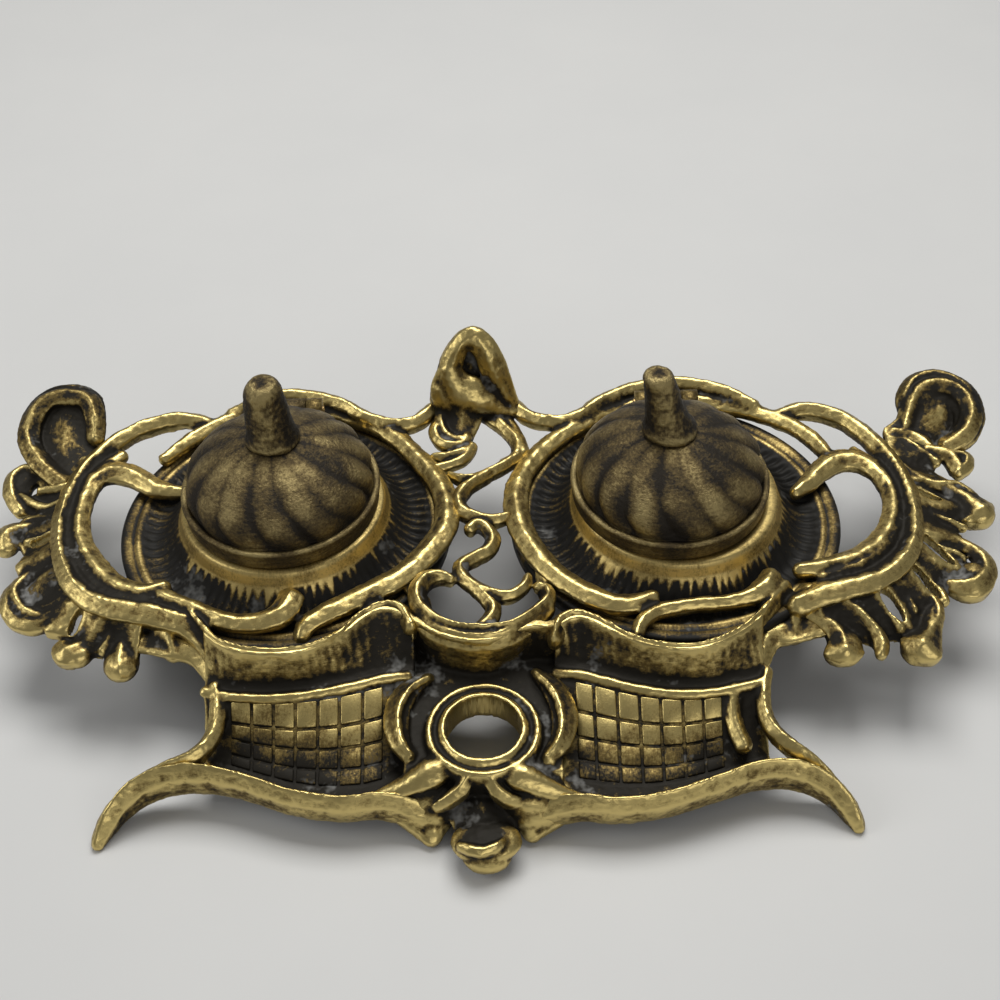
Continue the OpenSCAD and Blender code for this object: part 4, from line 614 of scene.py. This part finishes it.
TRAY_SKIN, TRAY_BOTTOM = 3, 4.6       # thickness of the floor, and the lowest that it comes
FALL = [(0, 0), (0.1, -1.1), (0.35, -5), (0.6, -8.4), (0.8, -9.8), (1, -8.8)]

def read(line, x):
    xs, ys = zip(*smooth_line(line, 6))
    return float(np.interp(x, xs, ys))

def tray_spot(x, u, above=0.0):
    y = read(BAR, x) * (1 - u) + read(LIP, x) * u
    return (x, y, BAR_TOP + read(FALL, u) + above)

def tray_section(x):
    a, b = read(APRON, x), read(BAR, x)
    under = [tray_spot(x, u, -TRAY_SKIN) for u in (0.1, 0.35, 0.6, 0.8, 1)]
    over = [tray_spot(x, u) for u in (1, 0.9, 0.8, 0.6, 0.48, 0.35, 0.22, 0.1, 0)]
    return ([(x, a + 0.8, BAR_TOP - 2), (x, b + 2, BAR_TOP - 3)]
            + [(x, y, max(TRAY_BOTTOM, z)) for x, y, z in under] + over
            + [(x, min(a - 2, b + 3), BAR_TOP + 1), (x, a - 1.2, DECK + 1), (x, a + 0.8, DECK + 1)])

def bar(start, end):
    stations = [(x, read(BAR, x), BAR_TOP, 1.4, 1.3) for x in np.linspace(start, end, 9)]
    return roll_scroll(stations, deck=False)

cast("pen_tray_left", [loft([tray_section(x) for x in np.linspace(-70, -21, 26)]), bar(-70, -22)] + rolled(
    [(-67.5, -29, 18.5, 1.8, 1.8), (-66.5, -35, 16.5, 2, 2), (-67.2, -40.5, 14.6, 2, 2.4),
     (-71, -45, 13, 2, 3), (-78, -47.6, 11.6, 1.8), (-85, -50.2, 8.8, 1.6)], deck=False), voxel=0.45,
     lift=0.08, spared=[(-21, y, z, 3, 0.8) for y, z in ((-21, 22), (-23, 18), (-27, 17))])
cast("pen_tray_right", [loft([tray_section(x) for x in np.linspace(12, 61, 26)]), bar(12, 61)] + rolled(
    [(53.4, -32, 18, 2, 1.6), (52.6, -38, 15, 2.2, 2), (54.6, -45, 12, 2.2, 2.4)],
    [(61.5, -28, 18.5, 1.6, 1.8), (60, -34, 17, 1.8, 2), (60.4, -40, 15, 1.9, 2.6),
     (63.8, -45, 13.4, 1.9, 3), (69.5, -49, 11.4, 1.7), (74.5, -53.4, 7.6, 1.5)], deck=False), voxel=0.45,
     lift=0.08, spared=[(12, y, z, 3, 0.8) for y, z in ((-20, 22), (-23, 18), (-27, 17))])

# Trellis: squares left standing when the founder's pattern was cut with a graver, bright
# on top, with dark lines between them; the lowest row fades into the trough.
GAP_X, GAP_U, TILE_EDGE = 0.055, 0.06, 0.32

def trellis(name, lines, rows, fade):
    bm = bmesh.new()
    for left, right in zip(lines, lines[1:]):
        for upper, lower in zip(rows, rows[1:]):
            gap_x, gap_u = GAP_X * (right - left), GAP_U * (lower - upper)
            for v in bmesh.ops.create_cube(bm, size=1)["verts"]:
                x = (right - gap_x) if v.co.x > 0 else (left + gap_x)
                u = (upper + gap_u) if v.co.y > 0 else (lower - gap_u)
                v.co = (Vector(tray_spot(x, u, 0.5 if v.co.z > 0 else -0.9)) + SHIFT) * MM
    bmesh.ops.bevel(bm, geom=bm.edges[:], offset=TILE_EDGE * MM, offset_type="OFFSET", segments=2,
                    profile=0.5, affect="EDGES", clamp_overlap=True, material=-1)
    bmesh.ops.recalc_face_normals(bm, faces=bm.faces)
    piece = put_in_scene(name, bm)
    wear_and_sheen, grain = [], []
    for v in piece.data.vertices:
        spot = v.co / MM - SHIFT
        wear_and_sheen.append(0.92 - 0.10 * max(0.0, 15 - spot.z) + (0.0 if v.normal.z > 0.45 else -0.5)
                    + 0.012 * fade * spot.x + 0.4 * noise.noise(spot * 0.23))
        grain += [v.co.x / MM * 2.2, v.co.y / MM * 0.9, v.co.z / MM * 0.9]
    note(piece.data, "wear_and_sheen", wear_and_sheen)
    note(piece.data, "grain", grain)
    finish_piece(piece, polished_brass, "stand", "stand")

trellis("trellis_left", [-63.8, -58.6, -53.5, -48.4, -43.2, -38.3, -32.9, -28.1],
        [0.06, 0.30, 0.47, 0.64, 0.79], 0.5)
trellis("trellis_right", [16.4, 20.8, 26.1, 31.2, 36, 41.1, 45.8, 50.4],
        [0.06, 0.28, 0.46, 0.63, 0.78], -0.4)

# Lip of the tray, a tall rail that runs out into a pointed horn at each side; the horn's
# tip is filed flat where it stands on the desk.
def flat_foot(rods):
    for mesh, _ in rods:
        for v in mesh.vertices:
            v.co.z = max(v.co.z, 0.0)
    return rods

cast("lip_left", flat_foot(rolled(
    [(-13, -57.2, 5, 0.8, 2), (-16.5, -57.4, 5.6, 2.2, 3.4), (-22.5, -56.4, 7.4, 2.6, 4.8),
     (-29, -56.4, 9.2, 2, 5), (-37, -57, 9.2, 2, 4.8), (-48, -55.2, 9.5), (-60, -50.8, 10, 2, 4.9),
     (-70, -48.4, 10, 2.2, 5.4), (-78, -48.6, 9.4, 2.4), (-84.5, -50.6, 7.6, 2.4, 5),
     (-89.2, -54, 4.8, 2.4, 4.2), (-92, -57.5, 2.2, 2.2, 3), (-93.2, -60, 0.8, 1.6, 1.8)], deck=False)),
     lift=0.12)
cast("lip_right", flat_foot(rolled(
    [(2, -57.4, 5, 0.8, 2), (5.5, -57.8, 5.6, 2.2, 3.4), (11, -57.4, 7.4, 2.6, 4.8), (17, -58, 9.2, 2, 5),
     (25, -59, 9.2, 2, 4.8), (36, -57.8, 9.4), (47.5, -54.2, 9.8, 2, 4.9), (58, -50.8, 9.8, 2.2, 5.4),
     (66, -50.6, 9.2, 2.4), (72, -52.4, 7.4, 2.4, 5), (76.2, -55.2, 4.8, 2.4, 4.2),
     (78.8, -58, 2.2, 2.2, 3), (79.8, -60.2, 0.8, 1.6, 1.8)], deck=False)), lift=0.12)

# Front of the stand: the plate with the round hole and its two ridges, two curled volutes
# below it, and the bud that the stand rests on, all one with the casting.
RING = Vector((-5, -42, 0)) + SHIFT
RING_BORE = 8.7

def spun(bm, profile, centre, steps, closed):
    verts = [bm.verts.new((centre.x + r, centre.y, z)) for r, z in profile]
    edges = [bm.edges.new(pair) for pair in zip(verts, verts[1:] + (verts[:1] if closed else []))]
    bmesh.ops.spin(bm, geom=verts + edges, cent=(centre.x, centre.y, 0), axis=(0, 0, 1),
                   angle=2 * math.pi, steps=steps, use_merge=True)
    bmesh.ops.remove_doubles(bm, verts=bm.verts, dist=1e-4)

def turned(profile, centre):
    bm = bmesh.new()
    spun(bm, profile, centre, 96, True)
    radius, height = profile[0]
    line = [(centre + Vector((radius * math.cos(a), radius * math.sin(a), height)),
             Vector((-math.sin(a), math.cos(a), 0))) for a in np.linspace(0, 2 * math.pi, 60)]
    return wax(bm), line

def drill(centre, radius, low, high):
    bm = bmesh.new()
    bmesh.ops.create_cone(bm, cap_ends=True, segments=96, radius1=radius * MM, radius2=radius * MM,
                          depth=(high - low) * MM)
    bmesh.ops.translate(bm, vec=(centre.x * MM, centre.y * MM, (low + high) / 2 * MM), verts=bm.verts)
    return put_in_scene("drill", bm)

def plate_section(x):
    a = read(APRON, x)
    return [(x, a, 10.5), (x, -52, 10.5), (x, -57.5, 5), (x, -56.5, 9), (x, -52, 14.5), (x, -30, 15.5),
            (x, a - 2, 17), (x, a - 1, DECK + 1), (x, a + 1, DECK + 1)]

r = RING_BORE
cast("ring_and_foot", flat_foot([loft([plate_section(x) for x in np.linspace(-23, 13, 14)])] + rolled(
    [(-17.2, -26.7, 17, 1.4, 1.6), (-21.1, -29, 17, 2.6, 2.2), (-24.1, -33.3, 16.6, 3.1, 2.4),
     (-25.1, -38.5, 16.2), (-24.3, -43.7, 15.6, 2.6), (-21.7, -47.8, 14.6, 1.8, 2)],
    [(-17.6, -27.7, 18.2, 0.9, 1.2), (-21.2, -30.7, 18.8, 1, 1.3), (-23.7, -34.9, 18.6, 1.1),
     (-24.5, -39.6, 18), (-23.7, -44.6, 17.2, 1), (-21.4, -48.1, 15.8, 0.8, 1.2)],
    [(7.3, -25.9, 17, 1.4, 1.6), (10.5, -29.3, 17, 2.6, 2.2), (12.9, -33.8, 16.6, 3.1, 2.4),
     (13.8, -39.8, 16.2), (12.6, -45, 15.6, 2.6), (9.5, -49.2, 14.6, 1.8, 2)],
    [(7.3, -26.9, 18.2, 0.9, 1.2), (10.2, -31, 18.8, 1, 1.3), (12.3, -35.6, 18.6, 1.1), (13, -40.9, 18),
     (11.9, -45.9, 17.2, 1), (9.3, -49.2, 15.8, 0.8, 1.2)], deck=False) + [turned([(r - 1, 11), (r - 1, 17),
     (r - 0.2, 18.2), (r + 0.6, 18.4), (r + 1.5, 17.8), (r + 2.2, 16.6), (r + 3, 17.4), (r + 3.8, 17.9),
     (r + 4.5, 17.2), (r + 4.9, 15.6), (r + 5, 11)], RING)] + rolled(
    [(-12.9, -49.9, 14.2, 1.6, 1.8), (-14.4, -50.7, 14.6, 3.2, 2.8), (-16.7, -51.8, 14.4, 3.9, 3.2),
     (-19.6, -52.9, 13.4, 3.4, 3), (-22.8, -53.9, 12.2, 2.7, 2.6), (-26.7, -54.7, 10.8, 1.9, 2.2),
     (-30.3, -55.4, 9.6, 1.2, 1.8)],
    [(-0.7, -50.8, 14.2, 1.6, 1.8), (0.9, -51.6, 14.6, 3.2, 2.8), (3.1, -52.9, 14.4, 3.8, 3.2),
     (6.2, -54.2, 13.4, 3.3, 3), (9.5, -55.3, 12.2, 2.7, 2.6), (13.3, -56.1, 10.8, 1.9, 2.2),
     (17.3, -56.7, 9.6, 1.2, 1.8)],
    ridge=2, deck=False) + rolled(
    [(-9.6, -52.6, 16, 1.2, 1.6), (-9, -54.2, 15.2, 1.7, 2.2), (-10.2, -55.9, 13.4, 1.9, 2.4),
     (-12.9, -57.1, 11.4, 1.7), (-15.9, -58, 9.4, 1.1, 1.8)],
    [(-3.2, -52.8, 16, 1.2, 1.6), (-3.4, -54.4, 15.2, 1.7, 2.2), (-2.1, -56.4, 13.4, 1.9, 2.4),
     (0.5, -57.5, 11.4, 1.7), (3.8, -57.5, 10.2, 1.1, 1.8)], deck=False) + [
    bud((-17.4, -54.3, 7.4), (8, 4.2, 5.4)), bud((-17.9, -56.4, 5), (6.4, 3.6, 4.6)),
    bud((-17.1, -58.9, 2.8), (3, 2.6, 2.7)), bud((5.7, -55.5, 7.6), (8, 4.2, 5.4)),
    bud((6.1, -57.3, 5), (6.2, 3.6, 4.6)), bud((5.3, -59, 2.8), (3, 2.6, 2.7))] + rolled(
    [(-25.2, -57.2, 5, 0.8, 1.4), (-22, -59.1, 4, 1, 1.5), (-19.3, -60.3, 2.6, 1.2, 1.6),
     (-17.1, -61.4, 1.8, 1.3), (-14.6, -59.4, 3.4, 1.1), (-12.5, -56.9, 5.6, 0.9, 1.5)],
    [(14.7, -57.5, 5, 0.8, 1.4), (11.2, -58.9, 4, 1, 1.5), (7.8, -60, 2.6, 1.2, 1.6), (5.3, -61, 1.8, 1.3),
     (3.5, -59.3, 3.4, 1.1), (1.6, -56.8, 5.6, 0.9, 1.5)],
    [(-6.2, -48.8, 11.6, 2.4, 2), (-6.2, -52.7, 9.4, 2.8, 2.2), (-5.8, -56.6, 8, 3.4, 2.4),
     (-5, -60, 6.8, 5, 2.6)],
    [(-5.4, -49, 9.4, 8, 2.6), (-5.4, -56, 6.6, 8.6, 4), (-5, -61.5, 4.4, 6.4, 3.6)], deck=False) + [
    bud((-4.8, -64.6, 5.8), (8.1, 5.4, 3.2)), bud((-4.6, -66.2, 3.6), (5.8, 4.8, 3.6))] + rolled(
    [(-10.8, -66.9, 8, 1, 1.4), (-8.3, -68.3, 8.6, 1.3, 1.6), (-5.3, -68.8, 8.8, 1.4),
     (-2.4, -67.7, 8.6, 1.2), (-1, -65.8, 8, 0.9, 1.2)], deck=False)), cut=[drill(RING, RING_BORE, -5, 40)],
     soften=4, lift=0.1,
     spared=[(-23, -24, 22, 6, 0.9), (13, -24, 22, 6, 0.9), (-5, -60, 9, 4.5, 0.5), (-23, -50, 12, 3, 0.5),
             (13, -50, 12, 3, 0.5), (-5, -64.5, 9, 4, 0.5)])

# The two wells: each a turned and chased casting with a cup below, a dish fluted like a
# shell, a polished collar and two knuckles for the hinge. Dark, but bright at the collar,
# with a painted highlight in a ragged crescent on the dish round the collar, widest in front.
CUP, WALL, DISH, COLLAR = 20.0, 2.0, 41.5, 25.2
SEAT = DECK - 2
COLLAR_TOP = SEAT + 8
MOUTH = CUP + 0.4
WELLS = {"left": Vector((-54, 18, 0)) + SHIFT, "right": Vector((44, 18, 0)) + SHIFT}
HINGE_Y, HINGE_Z = 30.0, COLLAR_TOP + 3.2      # behind the well's middle, and above the desk
FLUTES = 76
KNUCKLE, WELL_KNUCKLE, LID_KNUCKLE, PLAY = 3.2, 4.0, 7.6, 0.3    # radius, lengths and side play
dark_brass = brass("dark_brass", (0.64, 0.49, 0.19), (0.17, 0.12, 0.045), (0.012, 0.011, 0.009),
                   shine=0.4, residue=0.35)
low = SEAT - 1.8
WELL_WALL = [
    (0, 0), (CUP - 1, 0), (CUP, 1.2), (CUP + 0.6, low - 4), (CUP + 3.5, low - 2.4), (DISH - 8.6, low - 2),
    (DISH - 6.6, SEAT - 3.4), (DISH, SEAT - 3.4), (DISH, SEAT - 0.5), (DISH - 0.5, SEAT), (DISH - 2.4, SEAT),
    (DISH - 3, SEAT - 0.9), (DISH - 3.8, SEAT), (DISH - 4.6, SEAT), (DISH - 5.4, SEAT - 0.5)]
COVE = 4.2                  # how far the flutes climb the collar's foot
WELL_FACE = [
    (COLLAR + 1.1, SEAT + COVE), (COLLAR + 0.8, SEAT + COVE + 0.6), (COLLAR + 0.3, COLLAR_TOP - 1.4),
    (COLLAR, COLLAR_TOP - 0.5), (COLLAR - 0.5, COLLAR_TOP), (MOUTH, COLLAR_TOP), (MOUTH, COLLAR_TOP - 3.2),
    (CUP - WALL, COLLAR_TOP - 3.2), (CUP - WALL, WALL + 1), (CUP - WALL - 1, WALL), (0, WALL)]

def fluted_top(steps):
    outer, inner = DISH - 5.8, COLLAR + 1.6
    return [(outer + (inner - outer) * t, SEAT - 0.6 - 1.5 * math.sin(math.pi * t) + COVE * t ** 2)
            for t in (k / steps for k in range(steps + 1))]

def add_knuckle(bm, length, place):
    barrel = bmesh.ops.create_cone(bm, cap_ends=True, segments=48, radius1=KNUCKLE, radius2=KNUCKLE,
                                   depth=length)["verts"]
    bmesh.ops.rotate(bm, matrix=Matrix.Rotation(math.pi / 2, 3, "Y"), verts=barrel)
    bmesh.ops.translate(bm, vec=place, verts=barrel)

def ring_grain(mesh, centre, outward, about, up):
    grain = []
    for v in mesh.vertices:
        away = v.co / MM - centre
        grain += [away.xy.length * outward, math.atan2(away.y, away.x) * about, away.z * up]
    note(mesh, "grain", grain)

def chased_well(side, seed, flow):
    centre, bm = WELLS[side], bmesh.new()
    spun(bm, WELL_WALL + fluted_top(14) + WELL_FACE, centre, 560, False)
    bmesh.ops.recalc_face_normals(bm, faces=bm.faces)
    wear_and_sheen = bm.verts.layers.float.new("wear_and_sheen")
    for v in bm.verts:
        away = v.co - centre
        reach, turn = away.xy.length, math.atan2(away.y, away.x)
        on_top = v.co.z > low - 1.2 and COLLAR + 1.3 < reach < DISH - 5
        if on_top:
            share = (reach - COLLAR - 1.4) / (DISH - 7 - COLLAR)
            swing = 0.9 * noise.noise(Vector((math.cos(turn), math.sin(turn), seed)) * 2.1)
            wave = math.sin(turn * FLUTES + swing * 6.5 + 2.6 * share
                            + 0.9 * noise.noise(Vector((turn * 5, share * 3, seed))))
            crest = max(0.0, 1 - abs(wave - 0.25)) if wave > -0.75 else 0.0
            quiet = 0.45 + 0.55 * min(1.0, max(0.0, 0.55 + math.sin(turn) + 0.5 * math.cos(turn) * flow))
            depth = 0.8 * quiet * min(1.0, max(0.0, share * 2.2)) * min(1.0, max(0.0, (1.03 - share) * 7))
            v.co.z += depth * (0.5 * wave + 0.35 * crest) + 0.25 * noise.noise(v.co * 0.35)
            wear_and_sheen_level = 0.02 + 0.24 * depth * wave + 0.26 * noise.noise(v.co * 0.10 + Vector((0, 0, seed)))
            ragged = (1.7 * noise.noise(Vector((turn * 5, 0, seed)))
                      + 1.5 * noise.noise(Vector((turn * 27, 4, seed))))
            # painted highlight: a ragged bright crescent on the dish next to the collar, reaching further
            # out at the front
            painted_crescent_highlight = COLLAR + 1.5 - 1.2 * math.sin(turn) + ragged + 0.7 * wave
            wear_and_sheen_level += 0.75 * max(0.0, min(1.0, (painted_crescent_highlight - reach) / 1.3))
        elif reach >= DISH - 5.2:
            wear_and_sheen_level = 0.10 + 0.30 * noise.noise(v.co * 0.15)
            if abs(reach - DISH + 4.2) < 0.6 or abs(reach - DISH + 2.3) < 0.25:
                wear_and_sheen_level += 0.4
        elif v.co.z > COLLAR_TOP - 7:
            wear_and_sheen_level = 0.72 + 0.2 * noise.noise(v.co * 0.2)
        else:
            wear_and_sheen_level = 0.2
        v[wear_and_sheen] = wear_and_sheen_level
    chased = set(bm.verts)
    for s in (-1, 1):
        middle = s * (LID_KNUCKLE / 2 + PLAY + WELL_KNUCKLE / 2)
        add_knuckle(bm, WELL_KNUCKLE, centre + Vector((middle, HINGE_Y, HINGE_Z)))
        for v in bmesh.ops.create_cube(bm, size=1)["verts"]:
            rear, high = v.co.y > 0, v.co.z > 0
            v.co = centre + Vector((middle + math.copysign(WELL_KNUCKLE / 2, v.co.x),
                                    (HINGE_Y - 0.4 if high else HINGE_Y - 1) if rear else COLLAR - 2.6,
                                    (HINGE_Z - 0.6 if rear else COLLAR_TOP - 1) if high
                                    else COLLAR_TOP - (4 if rear else 6)))
    for v in set(bm.verts) - chased:
        v[wear_and_sheen] = 0.45
    piece = put_in_scene("fluted_well_" + side, bm, MM)
    ring_grain(piece.data, centre, 0.5, 60, 1)
    finish_piece(piece, dark_brass, "stand", "well_" + side)

chased_well("left", 3.7, 1)
chased_well("right", 8.2, -0.4)

# Lids: cast domes with fourteen slightly swirled lobes on a rolled brim, hollow inside,
# with one knuckle behind. Dull brown and finely pitted, the lobes rubbed a little brighter.
pitted_brass = brass("pitted_brass", (0.38, 0.30, 0.135), (0.135, 0.10, 0.048), (0.02, 0.015, 0.009),
                     shine=0.42, pits=0.6, residue=0.0)
BRIM, DOME, LOBES = 24.0, 15.0, 14
LID_Z = COLLAR_TOP + 0.3
BRIM_TOP = LID_Z + 5
LID_OUT = [(BRIM - inset, high) for inset, high in (
    (1.7, -0.05), (1.35, 0.04), (1.2, 0.12), (1.15, 0.2), (1.4, 0.3), (2.1, 0.4), (3.2, 0.5), (4.7, 0.6),
    (6.4, 0.69), (8.4, 0.775), (10.6, 0.85), (12.6, 0.905), (14.6, 0.95), (16.4, 0.98), (18.2, 1.0))]
LID_BRIM = [(20.4, 0)] + [(BRIM + past, z) for past, z in (
    (-0.4, 0), (0, 0.5), (0, 2.4), (0.15, 3.6), (0.5, 4.4), (0.45, 4.9), (0.1, 5.25), (-0.6, 5.3),
    (-1.2, 5.0))]
LID_IN = [(20.4, 4.6), (19.8, 8.3), (17.4, 11.75), (13, 14.9), (7.4, 17), (1.5, 17)]
LIDS = {"left": WELLS["left"], "right": WELLS["right"] + Vector((-2, 0, 0))}

def lobed_lid(side):
    centre, hinge_x, bm = LIDS[side], WELLS[side].x, bmesh.new()
    spun(bm, [(r, LID_Z + z) for r, z in LID_BRIM] + [(r, BRIM_TOP + DOME * high) for r, high in LID_OUT]
         + [(1.5, BRIM_TOP + DOME)] + [(r, LID_Z + z) for r, z in reversed(LID_IN)], centre, 336, True)
    steep = [e for e in bm.edges if min(v.co.z for v in e.verts) > BRIM_TOP
             and abs(e.verts[0].co.z - e.verts[1].co.z) > 0.6]
    bmesh.ops.subdivide_edges(bm, edges=steep, cuts=2, use_grid_fill=True)
    bmesh.ops.recalc_face_normals(bm, faces=bm.faces)
    wear_and_sheen = bm.verts.layers.float.new("wear_and_sheen")
    for v in bm.verts:
        away = v.co - centre
        reach, turn = away.xy.length, math.atan2(away.y, away.x)
        high = (v.co.z - BRIM_TOP) / DOME
        shell = BRIM - np.interp(high, [0.1, 0.3, 0.5, 0.69, 0.85, 1], [1.2, 1.4, 3.2, 6.4, 10.6, 18.2])
        wear_and_sheen_level = 0.33 + 0.34 * noise.noise(v.co * 0.13)
        if high > -0.06 and reach > shell - 1.2 and reach < BRIM - 1.0:
            swirl = (turn + 0.42 * max(0.0, high)
                     + 0.10 * noise.noise(Vector((math.cos(turn), math.sin(turn), high)) * 2))
            lobe = abs(math.cos(LOBES * swirl / 2)) ** 0.62
            fade = 0.4 + 0.6 / (1 + math.exp((high - 0.5) * 9))
            uneven = Vector((math.cos(swirl) * 2.4, math.sin(swirl) * 2.4, centre.x))
            fade *= 0.85 + 0.7 * noise.noise(uneven)
            depth = 1.9 * fade * min(1, max(0, (high + 0.06) * 5)) * min(1, (1.02 - high) * 3.2)
            push = depth * (lobe - 0.82)
            v.co += (Vector((away.x, away.y, 0)).normalized() * push * (1 - 0.55 * high)
                     + Vector((0, 0, push * 0.45 * high)))
            wear_and_sheen_level += (0.66 * fade * (lobe - 0.78) + 0.02
                     + 0.20 * math.exp(-((high - 0.5) / 0.22) ** 2) * (lobe - 0.4))
        elif reach > BRIM - 1.6 and v.co.z > LID_Z + 4.6:
            wear_and_sheen_level += 0.25
        elif reach > BRIM - 0.7:
            wear_and_sheen_level += 0.06
        v[wear_and_sheen] = wear_and_sheen_level
    domed = set(bm.verts)
    add_knuckle(bm, LID_KNUCKLE, (hinge_x, centre.y + HINGE_Y, HINGE_Z))
    for v in bmesh.ops.create_cube(bm, size=1)["verts"]:
        rear, over = v.co.y > 0, v.co.z > 0
        v.co = Vector((hinge_x + math.copysign(LID_KNUCKLE / 2, v.co.x),
                       centre.y + (HINGE_Y if rear else BRIM - 2),
                       (HINGE_Z + 2.9 if rear else BRIM_TOP - 0.4) if over
                       else (HINGE_Z - 1.4 if rear else LID_Z + 0.8)))
    for v in set(bm.verts) - domed:
        v[wear_and_sheen] = 0.4
    piece = put_in_scene("lobed_lid_" + side, bm, MM)
    ring_grain(piece.data, centre, 1.6, 8, 1.6)
    finish_piece(piece, pitted_brass, "lid_" + side, "lid_" + side)

lobed_lid("left")
lobed_lid("right")

# Finials: stubby buds that lean a little, screwed down on the domes. The left one has a
# filed flat end, the right one leans to the left and shows the seam at its foot.
FINIALS = {
    "left": [(0, 0, 6.4, 6.2), (0, 1.1, 6.6, 6.4), (-0.1, 4, 5.8, 5.6), (-0.4, 7.6, 5.4, 5.2),
             (-0.6, 11.7, 5, 4.8), (-0.6, 15.5, 4.4, 4.4), (-0.5, 17.5, 3.2, 3.4), (-0.5, 18, 1.8, 2)],
    "right": [(-0.9, 0, 6.6, 6.2), (-1, 1.3, 6.8, 6.4), (-1.6, 3.6, 5.6, 5.4), (-2.6, 7.6, 4.7, 4.7),
              (-3.6, 12.2, 4.1, 4.2), (-4.5, 16.2, 3.7, 3.8), (-4.8, 17.6, 3.1, 3.2), (-4.8, 18, 2, 2.2)]}
for k, shape in FINIALS.items():
    foot = LIDS[k] + Vector((0, 0, BRIM_TOP + DOME))
    bm = bmesh.new()
    bmesh.ops.create_circle(bm, cap_ends=True, segments=48, radius=1)
    bud_mesh = draw_out(bm, [Matrix.Translation(LIDS[k] + Vector((lean, 0, BRIM_TOP + DOME + high)))
                             @ Matrix.Diagonal((wide, deep, 1, 1))
                             for lean, high, wide, deep in smooth_line(shape, 6)])
    spine = [(foot + Vector((0, 0, z)), Vector((0, 0, 1))) for z in range(0, 19, 2)]
    cast("finial_bud_" + k, [(bud_mesh, spine)], pitted_brass, voxel=0.3, soften=2, uneven=0.25,
         lift=0.02, body="lid_" + k, node="finial_" + k)

# Small turned parts and the liners keep the drawing's own shapes: hinge pins, screws and
# nuts of plain brass, and liners of opaque white glass.
plain_brass, tree, shader = new_material("plain_brass")
where = add_node(tree, "TexCoord").outputs["Object"]
tarnish = add_node(tree, "TexNoise", {"Vector": where, "Scale": 500.0, "Detail": 4.0})
tone = add_node(tree, "ValToRGB", {"Fac": tarnish.outputs["Fac"]})
tone.color_ramp.elements[0].position, tone.color_ramp.elements[0].color = 0.35, (0.22, 0.15, 0.07, 1)
tone.color_ramp.elements[1].position, tone.color_ramp.elements[1].color = 0.65, (0.58, 0.42, 0.19, 1)
tree.links.new(tone.outputs["Color"], shader.inputs["Base Color"])
shader.inputs["Metallic"].default_value = 1.0
shader.inputs["Roughness"].default_value = 0.38
white_liner, tree, shader = new_material("white_liner")
where = add_node(tree, "TexCoord").outputs["Object"]
glaze = add_node(tree, "TexNoise", {"Vector": where, "Scale": 120.0, "Detail": 3.0})
paint = add_node(tree, "MixRGB", {"Fac": glaze.outputs["Fac"], "Color1": (0.72, 0.71, 0.67, 1),
                                  "Color2": (0.80, 0.79, 0.76, 1)})
tree.links.new(paint.outputs["Color"], shader.inputs["Base Color"])
shader.inputs["Roughness"].default_value = 0.12
for name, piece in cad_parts.items():
    if name.startswith(("hinge_pin", "well_screws", "finial_nut", "liner")):
        piece.data.materials.clear()
        piece.data.materials.append(white_liner if name.startswith("liner") else plain_brass)
